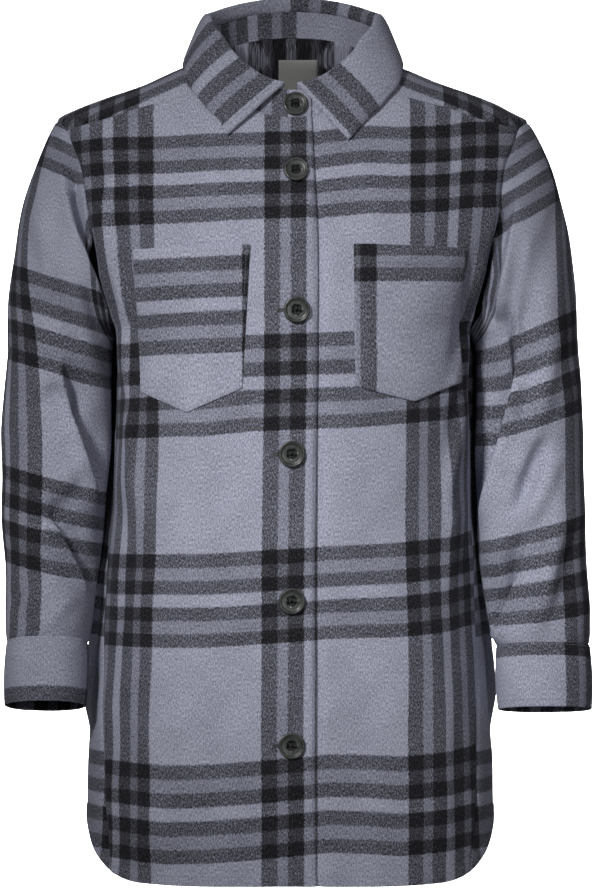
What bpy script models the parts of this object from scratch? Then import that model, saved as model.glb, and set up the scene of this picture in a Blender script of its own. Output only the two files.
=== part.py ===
"""Plaid overshirt with a collar, two chest pockets and cuffed sleeves.

The garment keeps the shape it has when worn, with nobody inside. Every piece is a
wall of cloth cut from one of three surfaces: the body, the sleeves and the collar.
Tables and sizes are in millimetres. +Z is up, the front faces -Y, and +X is the
wearer's left. The origin is level with the shoulder points, on the neck's centre.
"""

import math

import bpy
from mathutils import Vector
from mathutils.geometry import delaunay_2d_cdt

MM = 0.001

# Cloth
WALL = 2.0
SEAM = 0.15  # each piece stops this far short of a seam line
LAY = 0.7  # between two layers that lie on each other
ROUND = 2.25  # exponent of the body's rings, 2 being an ellipse
POWER = 2 / ROUND
FOLD_FADE = 0.4  # folds end where the body turns to the side
FOLD_RUN_OUT = 0.25  # a fold runs on past its ends by this share of its length
FOLD_END = 0.45  # and takes this share to rise to its full height
TURN_STEP = 0.01  # steps between which the body's slope is measured
RISE_STEP = 1.0
SHARP_ANGLE = math.radians(40)  # edges that bend more than this are shaded sharp
MOST_TURN = math.radians(55)  # a wall leans this far from square at a seam

# Body rings: height, centre, half width, depth to the front, depth to the back
RINGS = (
    (-800, -2.4, 197.0, 141, 146),
    (-700, -2.4, 195.5, 140, 144),
    (-605, -3.0, 191.5, 137, 141),
    (-557, -2.5, 186.0, 135, 138),
    (-499, -2.5, 181.0, 133, 134),
    (-420, -2.0, 173.5, 131, 130),
    (-346, -1.0, 169.5, 131, 128),
    (-262, 0.0, 168.5, 132, 129),
    (-243, 0.0, 169.0, 132, 129.5),
    (-225, 0.0, 177.0, 132, 130),
    (-200, 0.0, 189.0, 130, 130),
    (-160, 0.0, 206.0, 125, 129),
    (-120, 0.0, 219.0, 117, 122),
    (-80, 0.0, 228.0, 106, 108),
    (-60, 0.0, 229.5, 98, 98),
    (-50, 0.0, 229.0, 94.5, 93.5),
    (-40, 0.0, 226.0, 90.5, 89),
    (-29, 0.0, 206.0, 86, 84),
    (-17, 0.0, 177.0, 82, 80),
    (-6, 0.0, 145.5, 79, 77),
    (5, 0.0, 119.0, 76, 74),
    (10, 0.0, 106.0, 74.5, 72.5),
    (15, 0.0, 94.0, 73, 71),
    (20, 0.0, 84.5, 71.5, 69.5),
    (24, 0.0, 81.0, 70.5, 69),
    (34, 0.0, 78.5, 69, 68.5),
    (60, 0.0, 77.0, 68, 69),
)
ARMPIT = -243
# Armhole seam: height, distance from the centre
ARMHOLE = (
    (-243, 169.0),
    (-238, 169.3),
    (-228, 171.0),
    (-212, 173.5),
    (-190, 178.5),
    (-165, 183.0),
    (-140, 189.0),
    (-112, 195.5),
    (-85, 201.0),
    (-70, 205.5),
    (-52, 214.0),
    (-46, 219.0),
    (-40, 226.0),
)
# Side seam: height, turn in degrees from the centre front
SIDE_SEAM = ((-800, 55), (-757, 57), (-700, 61), (-600, 67), (-500, 76), (-400, 83), (-300, 88), (-243, 90))
# Neckline: turn in degrees, height
NECKLINE = (
    (0, -44),
    (3.7, -42),
    (8.7, -33.5),
    (15.1, -20),
    (20.9, -11),
    (30.7, 0),
    (48.9, 12),
    (70, 20),
    (90, 24),
    (110, 29),
    (130, 36),
    (150, 43),
    (165, 46.5),
    (180, 48),
)
# Hem: turn in degrees, height
HEM = (
    (0, -757),
    (30, -758),
    (45, -757),
    (57, -750),
    (70, -731),
    (80, -713),
    (92, -703),
    (104, -712),
    (120, -740),
    (135, -756),
    (180, -764),
)
# Front yoke seam from the neckline to the armhole: distance from the centre, height
YOKE_FRONT = ((64, -11), (93, -19), (120, -26), (146, -33), (170, -41), (193, -46.5), (214, -52))
YOKE_BACK = -85
# Edge of the upper front: height, distance past the centre
LAP_EDGE = ((-800, 21.3), (-400, 22), (-180, 23.5), (-44, 17))
LAP_CLEAR = 1.5  # the lower front stays down this far past the upper one's edge
LAP_RAMP = 11  # and comes back up over this width
LAP_SHIFTED = 10  # columns further over than this follow the edge

# Rows of the panels, as heights at the side seam
HEM_SIDE = -750
SIDE_ROWS = (-700, -650, -600, -550, -500, -450, -400, -350, -305, -268, -243)
FRONT_ARM_ROWS = (-228, -212, -190, -165, -140, -112, -85, -52)
BACK_ARM_ROWS = (-228, -212, -190, -165, -140, -112, -85)
YOKE_ARM_ROWS = (-52, -46, -41.5, -40, -42.5, -52, -70, -85)
YOKE_ARM_TOP = 3  # the entry of YOKE_ARM_ROWS at the shoulder point
OVER_NECK = (17, 4, -9, -22, -35, -49, -64)
UNDER_NECK = (-24, -9, 5, 18, 30, 46, 64)
FIXED_COLUMNS = {1: 5, -1: 4}  # first columns of each front, which run straight down
NECK_GUESS = -30  # a neckline height is found from here
NECK_TRIES = 12
HEM_FADE = 3  # how soon the rows above the hem run level
BACK_COLUMNS = 22
SIDE_SPAN_TURN = 108  # the armhole's share of the neckline ends at this turn
YOKE_SHORT_FIRST = 1.25  # the yoke's columns start close together, where the neck bends
YOKE_FADE = 6  # columns over which the yoke's front seam stops bending its rows

# Large folds: front or back, start, end, width, height; below 0 is a trough
BODY_FOLDS = (
    ("front", 194, -118, 174, -280, 28, 3),
    ("front", 160, -300, 143, -440, 28, 4),
    ("front", -184, -118, -168, -280, 30, 4),
    ("front", -156, -310, -149, -400, 26, 3.5),
    ("front", -95, -470, -112, -760, 70, 4),
    ("front", 108, -500, 118, -760, 66, 4),
    ("front", 60, -420, 66, -700, 60, -2.5),
    ("back", 146, -140, 132, -420, 34, 6),
    ("back", -150, -130, -138, -400, 34, 6),
    ("back", 70, -200, 92, -620, 60, 5),
    ("back", -64, -240, -80, -640, 60, 5),
    ("back", 8, -330, 2, -770, 76, -5),
    ("back", 128, -500, 120, -770, 60, 4),
    ("back", -126, -480, -122, -770, 60, 4),
)
# Sleeves carry the wearer's left (+1) or right (-1) side first
SLEEVE_FOLDS = (
    (-1, "front", 218, -80, 192, -168, 26, -5),
    (-1, "front", 192, -168, 172, -235, 24, -4),
    (-1, "front", 236, -120, 214, -230, 26, 3),
    (-1, "front", 212, -300, 236, -345, 30, -4),
    (-1, "front", 230, -410, 196, -478, 26, -5),
    (-1, "front", 246, -448, 214, -505, 24, 3.5),
    (1, "front", 226, -150, 214, -300, 24, -5),
    (1, "front", 246, -170, 240, -300, 26, 3),
    (1, "front", 236, -350, 220, -402, 26, -4),
    (1, "front", 230, -425, 200, -525, 26, -6),
    (1, "front", 254, -420, 232, -500, 26, 4),
    (-1, "back", 206, -110, 196, -240, 28, -4),
    (-1, "back", 214, -330, 250, -372, 34, -5),
    (-1, "back", 206, -400, 246, -440, 32, -5),
    (1, "back", 208, -110, 198, -240, 28, -4),
    (1, "back", 214, -330, 250, -366, 34, -5),
    (1, "back", 210, -396, 248, -440, 32, -5),
)

# Sleeve rings: height, inner side, outer side, middle in Y, half depth, tilt in degrees
SLEEVE_RINGS = {
    1: (
        (-262, 175.5, 273.5, 0, 64, 0),
        (-300, 175.0, 276.5, -3, 63, 1),
        (-346, 175.0, 277.5, -8, 61, 3),
        (-392, 175.5, 278.0, -14, 59, 5),
        (-436, 176.5, 279.5, -20, 57, 7),
        (-478, 180.0, 281.0, -27, 54, 8),
        (-510, 184.5, 283.0, -31, 52, 8),
        (-530, 189.0, 283.0, -34, 48, 8),
        (-541, 193.5, 281.5, -36, 44.5, 8),
    ),
    -1: (
        (-262, 173.0, 273.5, 0, 64, 0),
        (-300, 173.5, 277.0, -3, 63, 1),
        (-346, 174.0, 279.5, -9, 61, 4),
        (-392, 177.0, 279.0, -17, 59, 7),
        (-436, 182.0, 276.5, -26, 56, 9),
        (-478, 186.0, 273.5, -36, 53, 11),
        (-508, 189.0, 272.0, -42, 50, 11),
        (-526, 192.0, 271.5, -46, 46, 11),
        (-537, 194.5, 270.5, -48, 42.5, 11),
    ),
}
SLEEVE_POWER = 0.95
SLEEVE_FADE = 1.4  # folds reach this much of the way to the sleeve's sides
LEAVE_OUT = (0.34, 0.52)  # how far out the sleeve leaves at the armpit and the shoulder
LEAVE_FORWARD = 0.30
LEAVE_DOWN = 0.85
SLEEVE_LEAVE = 0.30  # how stiffly the sleeve leaves the armhole
SLEEVE_ARRIVE = 0.40
CAP_ROWS = 7
CUFF_HEIGHT = 60
CUFF_ROWS = 3
CUFF_FLARE = 1.5
CUFF_LAP_TURN = 62  # degrees from the outer side towards the back
CUFF_LAP_COLUMNS = 2
CUFF_SPLAY = 0.02

# Collar: share of the way from its front end to the centre back
STAND_HEIGHT = 26
STAND_ROWS = 3
STAND_GAP = 0.5  # above the neckline, where the cloth turns up
STAND_LEAN = ((0, -7), (20.9, -4), (60, -2), (90, -1), (140, 2), (180, 3))  # by turn
LEAF_WALL = 2.2
LEAF_START = 2  # first neckline column that carries the collar leaf
LEAF_UPRIGHT = 0.6  # share of the rise that goes straight up from the stand
LEAF_LEAN = 0.3  # shares of the roll: before the peak, past it, and at it
LEAF_SHOULDER = 0.9
LEAF_PEAK = 0.5
LEAF_HANG = 0.35  # share of the fall that hangs straight at the outer edge
LEAF_SWELL = 1.5
LEAF_RISE = ((0.0, 5.5), (0.12, 9), (0.25, 12), (0.6, 12), (1.0, 12))
LEAF_ROLL = ((0.0, 5.0), (0.12, 5.5), (0.3, 6), (0.6, 6.5), (1.0, 7.5))
# Outer edge of the leaf: share, turn in degrees, height, distance off the body
LEAF_EDGE = (
    (0.00, 10.8, -66, 3.6),
    (0.12, 15.0, -46, 3.6),
    (0.22, 23.8, -25, 3.6),
    (0.32, 39.0, -8, 3.6),
    (0.45, 60.0, 6, 3.8),
    (0.56, 88.0, 12, 4.5),
    (0.70, 124.0, 14, 9),
    (0.85, 152.0, 18, 13),
    (1.00, 180.0, 22, 15),
)
TIP_RIGHT = (2.2, 5)  # the wearer's right tip lies this much further round and higher
TIP_SHARE = 0.14  # share of the leaf that this bends
LEAF_STEPS = (0.0, 0.5, 1.0)  # up from the stand to the roll
FALL_STEPS = (0.22, 0.48, 0.74, 1.0)  # from the roll to the outer edge

# Pockets: corners as distance from the centre and height
POCKETS = {
    "pocket_left": ((56.7, -164.6), (160.5, -166.4), (155, -291), (113, -309.4), (58, -295.5)),
    "pocket_right": ((-40, -165.5), (-148, -168.3), (-141, -300.2), (-98, -319.7), (-47.4, -297.4)),
}
POCKET_COLUMNS = 10
POCKET_ROWS = 8
POCKET_WALL = 1.8
POCKET_LIFT = 1.4

# Buttons: name, distance from the centre, height, diameter
BUTTONS = (
    ("button_collar", 2.5, -31.5, 23),
    ("button_1", 3.1, -94.3, 23),
    ("button_2", 3.7, -225.4, 24.5),
    ("button_3", -0.9, -358.7, 24.5),
    ("button_4", -0.9, -494.7, 24.5),
    ("button_5", -0.9, -627.8, 24.5),
)
CUFF_BUTTON = 17
BUTTON_SIDES = 16
BUTTON_LIFT = 0.5
HOLE_SIDES = 6
# Button section: distance in from the rim, height; both as parts of the diameter
BUTTON_SECTION = ((0.035, 0.0), (0.0, 0.035), (0.0, 0.11), (0.045, 0.15), (0.10, 0.145), (0.17, 0.095))
HOLE_OFFSET = 0.095
HOLE_RADIUS = 0.045
HOLE_INSIDE = 0.8  # a triangle whose middle is this near a hole's middle is in it
PLATE_MERGE = 1e-7

LABEL_TOP = 26
LABEL_SIZE = (38, 34)
LABEL_MIDDLE = 5
LABEL_WALL = 1.0
LABEL_ROWS = 3
LABEL_COLUMNS = 4

MATERIALS = {
    "cloth": ((0.20, 0.205, 0.26), 0.95),
    "button": ((0.045, 0.045, 0.05), 0.35),
    "label": ((0.30, 0.30, 0.30), 0.6),
}


def slopes(xs, ys):
    """Slopes that let a cubic run through the points without overshooting."""
    steps = [(ys[i + 1] - ys[i]) / (xs[i + 1] - xs[i]) for i in range(len(xs) - 1)]
    inner = [2 * a * b / (a + b) if a * b > 0 else 0.0 for a, b in zip(steps, steps[1:])]
    return [steps[0], *inner, steps[-1]]


def curve(rows, column=1):
    """A smooth function through one column of a table, read by its first column."""
    xs = [row[0] for row in rows]
    ys = [row[column] for row in rows]
    tangents = slopes(xs, ys)

    def value(x):
        x = min(max(x, xs[0]), xs[-1])
        i = max(k for k in range(len(xs) - 1) if xs[k] <= x)
        width = xs[i + 1] - xs[i]
        t = (x - xs[i]) / width
        start = (1 + 2 * t) * (1 - t) ** 2 * ys[i] + t * (1 - t) ** 2 * width * tangents[i]
        end = t * t * (3 - 2 * t) * ys[i + 1] + t * t * (t - 1) * width * tangents[i + 1]
        return start + end

    return value


ring_centre = curve(RINGS, 1)
ring_half = curve(RINGS, 2)
ring_front = curve(RINGS, 3)
ring_back = curve(RINGS, 4)
armhole_x = curve(ARMHOLE)
side_seam = curve(SIDE_SEAM)
neck_height = curve(NECKLINE)
hem_height = curve(HEM)
lap_edge = curve(LAP_EDGE)
stand_lean = curve(STAND_LEAN)
leaf_rise = curve(LEAF_RISE)
leaf_roll = curve(LEAF_ROLL)
leaf_edge = [curve(LEAF_EDGE, column) for column in (1, 2, 3)]
sleeve_curves = {
    side: tuple(curve(tuple(reversed(rows)), column) for column in range(1, 6))
    for side, rows in SLEEVE_RINGS.items()
}


def mix(a, b, share):
    return a + (b - a) * share


def smooth(share):
    share = min(max(share, 0.0), 1.0)
    return share * share * (3 - 2 * share)


def folds_at(rows, side, x, z):
    """How far the folds of a table move the cloth out at one place."""
    total = 0.0
    for where, x0, z0, x1, z1, width, height in rows:
        if where != side:
            continue
        run = Vector((x1 - x0, z1 - z0))
        along = Vector((x - x0, z - z0)).dot(run) / run.length_squared
        across = abs(Vector((x - x0, z - z0)).cross(run)) / run.length
        if across < width:
            start = smooth((along + FOLD_RUN_OUT) / FOLD_END)
            end = smooth((1 + FOLD_RUN_OUT - along) / FOLD_END)
            total += height * start * end * (0.5 + 0.5 * math.cos(math.pi * across / width))
    return total


# The body


def ring_point(turn, z):
    """Point of the body's ring at height z; turn is 0 in front and grows to +X."""
    s = math.sin(turn)
    c = math.cos(turn)
    depth = ring_front(z) if c > 0 else ring_back(z)
    x = ring_centre(z) + ring_half(z) * math.copysign(abs(s) ** POWER, s)
    return Vector((x, -depth * math.copysign(abs(c) ** POWER, c), z))


def body(turn, z):
    """The body's surface with its folds."""
    point = ring_point(turn, z)
    side = "front" if math.cos(turn) > 0 else "back"
    facing = Vector((math.sin(turn), -math.cos(turn), 0))
    away_from_side = smooth(abs(math.cos(turn)) / FOLD_FADE)
    return point + facing * folds_at(BODY_FOLDS, side, point.x, z) * away_from_side


def body_normal(turn, z):
    around = body(turn + TURN_STEP, z) - body(turn - TURN_STEP, z)
    up = body(turn, z + RISE_STEP) - body(turn, z - RISE_STEP)
    return around.cross(up).normalized()


def turn_at(x, z, back=False):
    """Turn of the surface point that lies x from the centre at height z."""
    ratio = (x - ring_centre(z)) / ring_half(z)
    turn = math.asin(math.copysign(min(abs(ratio), 1.0) ** (1 / POWER), ratio))
    return math.pi - turn if back else turn


def armhole_turn(z, back=False):
    ratio = min(armhole_x(z) / ring_half(z), 1.0)
    turn = math.asin(ratio ** (1 / POWER))
    return math.pi - turn if back else turn


def from_front(turn):
    """Degrees from the centre front, the shorter way round."""
    folded = abs(math.degrees(turn)) % 360
    return min(folded, 360 - folded)


def neck_z(turn):
    return neck_height(from_front(turn))


def hem_z(turn):
    return hem_height(from_front(turn))


def under_lift(x, z):
    """How far the lower front lies below the upper one at the lap."""
    return -(WALL + LAY) * (1 - smooth((x - lap_edge(z) - LAP_CLEAR) / LAP_RAMP))


# Building solids


def pulled(grid, amount):
    """The grid with its four edges moved in along the cloth."""
    moved = [list(row) for row in grid]
    last = len(grid) - 1
    end = len(grid[0]) - 1
    for j in range(end + 1):
        moved[0][j] = grid[0][j] + (grid[1][j] - grid[0][j]).normalized() * amount
        moved[last][j] = grid[last][j] + (grid[last - 1][j] - grid[last][j]).normalized() * amount
    for i in range(last + 1):
        first = (grid[i][1] - grid[i][0]).normalized() * amount
        final = (grid[i][end - 1] - grid[i][end]).normalized() * amount
        moved[i][0] = moved[i][0] + first
        moved[i][end] = moved[i][end] + final
    return moved


def make(name, points, faces, material):
    mesh = bpy.data.meshes.new(name)
    mesh.from_pydata([tuple(p * MM) for p in points], [], faces)
    mesh.materials.append(materials[material])
    mesh.update()
    mesh.shade_smooth()
    mesh.set_sharp_from_angle(angle=SHARP_ANGLE)
    piece = bpy.data.objects.new(name, mesh)
    bpy.context.scene.collection.objects.link(piece)
    return piece


def wall(name, outer, inner, material="cloth", tube=False):
    """A closed wall between two grids of points; a tube's columns meet."""
    rows = len(outer)
    columns = len(outer[0])
    points = [p for row in outer for p in row] + [p for row in inner for p in row]
    shift = rows * columns
    spans = [(j, (j + 1) % columns) for j in range(columns if tube else columns - 1)]
    faces = []
    for i in range(rows - 1):
        for j, k in spans:
            a, b, c, d = i * columns + j, i * columns + k, (i + 1) * columns + k, (i + 1) * columns + j
            faces += [(a, b, c, d), (d + shift, c + shift, b + shift, a + shift)]
    top = (rows - 1) * columns
    for j, k in spans:
        faces += [(k, j, j + shift, k + shift), (top + j, top + k, top + k + shift, top + j + shift)]
    if not tube:
        last = columns - 1
        for i in range(rows - 1):
            a, d = i * columns, (i + 1) * columns
            faces += [(a, d, d + shift, a + shift)]
            faces += [(d + last, a + last, a + last + shift, d + last + shift)]
    return make(name, points, faces, material)


def body_grid(spots):
    """Outer points and wall directions for rows of (turn, height, lift)."""
    points = []
    directions = []
    for row in spots:
        normals = [body_normal(turn, z) for turn, z, lift in row]
        points.append([body(t, z) + n * lift for (t, z, lift), n in zip(row, normals)])
        directions.append(normals)
    return points, directions


def loop_ends(loop_edges):
    """The first and last edge point of each armhole run, with the one beside it."""
    runs = {}
    for edge in loop_edges:
        runs.setdefault(edge[2]["side"], []).append(edge)
    for run in runs.values():
        yield run[0], run[1]
        yield run[-1], run[-2]


def panel(name, spots, loop_edges=()):
    """A body panel; loop_edges name the rows or columns that lie on an armhole."""
    points, directions = body_grid(spots)
    outer = pulled(points, SEAM)
    for i, j, stitch in loop_edges:
        outer[i][j] = stitch["body_edge"]
        directions[i][j] = stitch["body_wall"]
    for ends in loop_ends(loop_edges):
        (i, j, here), (_, _, beside) = ends
        outer[i][j] = outer[i][j] + (beside["point"] - here["point"]).normalized() * SEAM
    inner = [[p - d * WALL for p, d in zip(row, ways)] for row, ways in zip(outer, directions)]
    return wall(name, outer, inner)


# Armholes and sleeves


def armhole_spots(side):
    """Turns and heights round one armhole from the armpit up the front and down the back."""
    front = [(ARMPIT, False)] + [(z, False) for z in FRONT_ARM_ROWS[:-1]]
    over = [(z, i > YOKE_ARM_TOP) for i, z in enumerate(YOKE_ARM_ROWS)]
    back = [(z, True) for z in reversed(BACK_ARM_ROWS[:-1])]
    return [(side * armhole_turn(z, behind), z) for z, behind in front + over + back]


def sleeve_ring(side, z, angle):
    """Point of a sleeve's ring; angle is 0 on the outer side and grows to the front."""
    inner, outer, middle, depth, tilt = (ring(z) for ring in sleeve_curves[side])
    c = math.cos(angle)
    s = math.sin(angle)
    lean = math.radians(tilt)
    x = (inner + outer) / 2 + (outer - inner) / 2 * math.copysign(abs(c) ** SLEEVE_POWER, c)
    forward = depth * math.copysign(abs(s) ** SLEEVE_POWER, s)
    point = Vector((x, middle - forward * math.cos(lean), z + forward * math.sin(lean)))
    point += Vector((c, -s, 0)) * sleeve_folds(side, s, x, z)
    return Vector((side * point.x, point.y, point.z))


def sleeve_folds(side, facing, x, z):
    """How far a sleeve's folds push out; facing is 1 at the front and -1 behind."""
    rows = [row[1:] for row in SLEEVE_FOLDS if row[0] == side]
    where = "front" if facing > 0 else "back"
    return folds_at(rows, where, x, z) * min(1.0, abs(facing) * SLEEVE_FADE)


def loop_angles(points, top):
    """Angles on the sleeve that match each point's share of the way round."""
    count = len(points)
    steps = [(points[(i + 1) % count] - points[i]).length for i in range(count)]
    front = sum(steps[:top])
    back = sum(steps[top:])
    angles = []
    run = 0.0
    for i in range(count):
        if i <= top:
            angles.append(math.pi * (1 - run / front))
        else:
            angles.append(-math.pi * (run - front) / back)
        run += steps[i]
    return angles


def leaving(side, angle):
    """Direction in which the sleeve leaves the armhole."""
    c = math.cos(angle)
    s = math.sin(angle)
    out = mix(*LEAVE_OUT, 0.5 + 0.5 * c)
    return Vector((side * out, -LEAVE_FORWARD * s, -LEAVE_DOWN)).normalized()


def armhole(side):
    """The seam's points, their angles on the sleeve and the walls that meet there."""
    spots = armhole_spots(side)
    points = [body(turn, z) for turn, z in spots]
    top = len(FRONT_ARM_ROWS) + YOKE_ARM_TOP
    angles = loop_angles(points, top)
    stitches = []
    count = len(points)
    for i, (turn, z) in enumerate(spots):
        along = (points[(i + 1) % count] - points[i - 1]).normalized() * side
        away = leaving(side, angles[i])
        own = body_normal(turn, z)
        sleeve_normal = away.cross(along).normalized()
        middle = (own + sleeve_normal).normalized()
        across = along.cross(middle).normalized()
        if across.dot(away) < 0:
            across = -across
        stitches.append(
            {
                "side": side,
                "point": points[i],
                "angle": angles[i],
                "away": away,
                "body_edge": points[i] - across * SEAM,
                "sleeve_edge": points[i] + across * SEAM,
                "body_wall": leaned(own, middle),
                "sleeve_wall": leaned(sleeve_normal, middle),
            }
        )
    return stitches


def leaned(own, shared):
    """The shared wall direction, or as near to it as a wall may lean."""
    angle = own.angle(shared)
    return own.slerp(shared, min(1.0, MOST_TURN / angle) if angle > 1e-6 else 0.0).normalized()


def cap_point(side, stitch, share):
    """A point between the armhole and the first full ring of the sleeve."""
    start = stitch["point"]
    end = sleeve_ring(side, SLEEVE_RINGS[side][0][0], stitch["angle"])
    reach = (end - start).length
    first = start + stitch["away"] * reach * SLEEVE_LEAVE
    second = end + Vector((0, 0, reach * SLEEVE_ARRIVE))
    rest = 1 - share
    point = start * rest**3 + first * 3 * rest * rest * share
    point += second * 3 * rest * share * share + end * share**3
    s = math.sin(stitch["angle"])
    push = sleeve_folds(side, s, abs(point.x), point.z) * math.sin(math.pi * share / 2)
    return point + Vector((side * math.cos(stitch["angle"]), -s, 0)) * push


def sleeve_grid(side, stitches):
    rows = [[cap_point(side, stitch, k / CAP_ROWS) for stitch in stitches] for k in range(CAP_ROWS)]
    for z, *_ in SLEEVE_RINGS[side]:
        rows.append([sleeve_ring(side, z, stitch["angle"]) for stitch in stitches])
    return rows


def grid_normals(rows, side, tube=True):
    """Normals of a grid from its own points."""
    normals = []
    for i, row in enumerate(rows):
        above = rows[max(i - 1, 0)]
        below = rows[min(i + 1, len(rows) - 1)]
        line = []
        for j in range(len(row)):
            before = row[j - 1] if tube or j else row[0]
            after = row[(j + 1) % len(row)] if tube or j < len(row) - 1 else row[j]
            line.append(((after - before).cross(above[j] - below[j])).normalized() * side)
        normals.append(line)
    return normals


def turned_over(rows, backwards):
    """The grid from its last row to its first, each row backwards where asked."""
    return [list(reversed(row)) if backwards else row for row in reversed(rows)]


def make_sleeve(side, name, stitches):
    rows = sleeve_grid(side, stitches)
    normals = grid_normals(rows, side)
    axis = cuff_axis(side)
    normals[-1] = [(n - axis * n.dot(axis)).normalized() for n in normals[-1]]
    rows[0] = [stitch["sleeve_edge"] for stitch in stitches]
    normals[0] = [stitch["sleeve_wall"] for stitch in stitches]
    rows[-1] = [p + (above - p).normalized() * SEAM for p, above in zip(rows[-1], rows[-2])]
    inner = [[p - n * WALL for p, n in zip(line, ways)] for line, ways in zip(rows, normals)]
    wall(name, turned_over(rows, side < 0), turned_over(inner, side < 0), tube=True)
    return normals[-1]


def make_cuff(side, name, stitches, ways):
    """A band that carries on from the sleeve, with its end tucked under at the back."""
    count = len(stitches)
    angles = [stitch["angle"] for stitch in stitches]
    lap = min(range(count), key=lambda j: abs(angles[j] + math.radians(CUFF_LAP_TURN)))
    order = [(lap - k) % count for k in range(count + CUFF_LAP_COLUMNS + 1)]
    axis = cuff_axis(side)
    outer = []
    inner = []
    for i in range(CUFF_ROWS + 1):
        line = []
        under = []
        for k, j in enumerate(order):
            normal = ways[j]
            depth = -(WALL + LAY) * smooth((k - count + CUFF_LAP_COLUMNS) / CUFF_LAP_COLUMNS)
            down = SEAM + i * (CUFF_HEIGHT - SEAM) / CUFF_ROWS
            flare = CUFF_FLARE * math.sin(math.pi * i / CUFF_ROWS)
            base = sleeve_ring(side, SLEEVE_RINGS[side][-1][0], angles[j])
            point = base + axis * down + normal * (depth + flare)
            line.append(point)
            under.append(point - normal * WALL)
        outer.append(line)
        inner.append(under)
    wall(name, turned_over(outer, side > 0), turned_over(inner, side > 0))
    middle = outer[1][1].lerp(outer[2][1], 0.5)
    return middle, ways[order[1]], axis


def cuff_axis(side):
    tilt = math.radians(SLEEVE_RINGS[side][-1][-1])
    return Vector((side * CUFF_SPLAY, -math.sin(tilt), -math.cos(tilt))).normalized()


# Panels


def yoke_front_spots(side):
    return [(side * turn_at(x, z), z, 0.0) for x, z in YOKE_FRONT]


def front_top(side, neck):
    """Top row of a front: the neckline columns, then the yoke seam."""
    row = []
    for x in neck[:-1]:
        z = NECK_GUESS
        for _ in range(NECK_TRIES):
            z = neck_z(turn_at(x, z))
        row.append((turn_at(x, z), z, lap_lift(side, x, z)))
    return row + yoke_front_spots(side)


def lap_lift(side, x, z):
    return under_lift(x, z) if side > 0 else 0.0


def lap_columns(side, neck, z):
    """Distances of the first columns at height z, which follow the lap's edge."""
    shift = lap_edge(z) - lap_edge(NECKLINE[0][1])
    return [x + (shift if x > LAP_SHIFTED else 0) for x in neck[: FIXED_COLUMNS[side]]]


def row_height(turn, top_z, share):
    """Height of a panel's row: it follows the hem low down and runs level higher up."""
    level = mix(HEM_SIDE, top_z, share)
    return level + (hem_z(turn) - HEM_SIDE) * (1 - share) ** HEM_FADE


def side_turn(z, back=False):
    """Turn of a panel's outer edge: the side seam, then the armhole."""
    return math.radians(side_seam(z)) if z <= ARMPIT else armhole_turn(z, back)


def front_spots(side, neck):
    top = front_top(side, neck)
    rows = [HEM_SIDE] + list(SIDE_ROWS) + list(FRONT_ARM_ROWS)
    fixed = FIXED_COLUMNS[side]
    spots = []
    for z_side in rows:
        share = (z_side - rows[0]) / (rows[-1] - rows[0])
        if share >= 1:
            spots.append(top)
            continue
        edge_turn = side * side_turn(z_side)
        row = []
        for j, (top_turn, top_z, _) in enumerate(top):
            spread = (j - fixed + 1) / (len(top) - fixed)
            guess = edge_turn * j / (len(top) - 1)
            z = row_height(guess, top_z, share)
            if j < fixed:
                x = lap_columns(side, neck, z)[j]
                z = row_height(turn_at(x, z), top_z, share)
                row.append((turn_at(x, z), z, lap_lift(side, x, z)))
                continue
            start = turn_at(lap_columns(side, neck, z)[fixed - 1], z)
            top_share = (top_turn - top[fixed - 1][0]) / (top[-1][0] - top[fixed - 1][0])
            turn = mix(start, edge_turn, mix(spread, top_share, smooth(share)))
            if j == len(top) - 1:
                turn = edge_turn
                z = z_side
            else:
                z = row_height(turn, top_z, share)
            row.append((turn, z, lap_lift(side, ring_point(turn, z).x, z)))
        spots.append(row)
    return spots


def make_front(side, name, neck, stitches):
    spots = front_spots(side, neck)
    arm = len(SIDE_ROWS)
    edges = [(arm + k, len(spots[0]) - 1, stitches[k]) for k in range(len(FRONT_ARM_ROWS) + 1)]
    if side < 0:
        spots = [list(reversed(row)) for row in spots]
        edges = [(i, 0, stitch) for i, _, stitch in edges]
    panel(name, spots, edges)


def back_spots():
    rows = [HEM_SIDE] + list(SIDE_ROWS) + list(BACK_ARM_ROWS)
    spots = []
    for z_side in rows:
        share = (z_side - rows[0]) / (rows[-1] - rows[0])
        start = side_turn(z_side, True)
        row = []
        for j in range(BACK_COLUMNS + 1):
            turn = mix(start, 2 * math.pi - start, j / BACK_COLUMNS)
            z = row_height(turn, YOKE_BACK, share)
            if j in (0, BACK_COLUMNS):
                z = z_side
            row.append((turn, z, 0.0))
        spots.append(row)
    return spots


def make_back(loops):
    spots = back_spots()
    arm = len(SIDE_ROWS)
    edges = []
    for k in range(len(BACK_ARM_ROWS) + 1):
        edges.append((arm + k, 0, loops[1][-k % len(loops[1])]))
        edges.append((arm + k, BACK_COLUMNS, loops[-1][-k % len(loops[-1])]))
    panel("back", spots, edges)


def yoke_outer():
    """Outer boundary: over one armhole, along the back seam, over the other."""
    arm = [(armhole_turn(z, i > YOKE_ARM_TOP), z) for i, z in enumerate(YOKE_ARM_ROWS)]
    back = [(turn, z) for turn, z, _ in back_spots()[-1]]
    other = [(2 * math.pi - turn, z) for turn, z in reversed(arm)]
    return arm[:-1] + back + other[1:]


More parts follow.
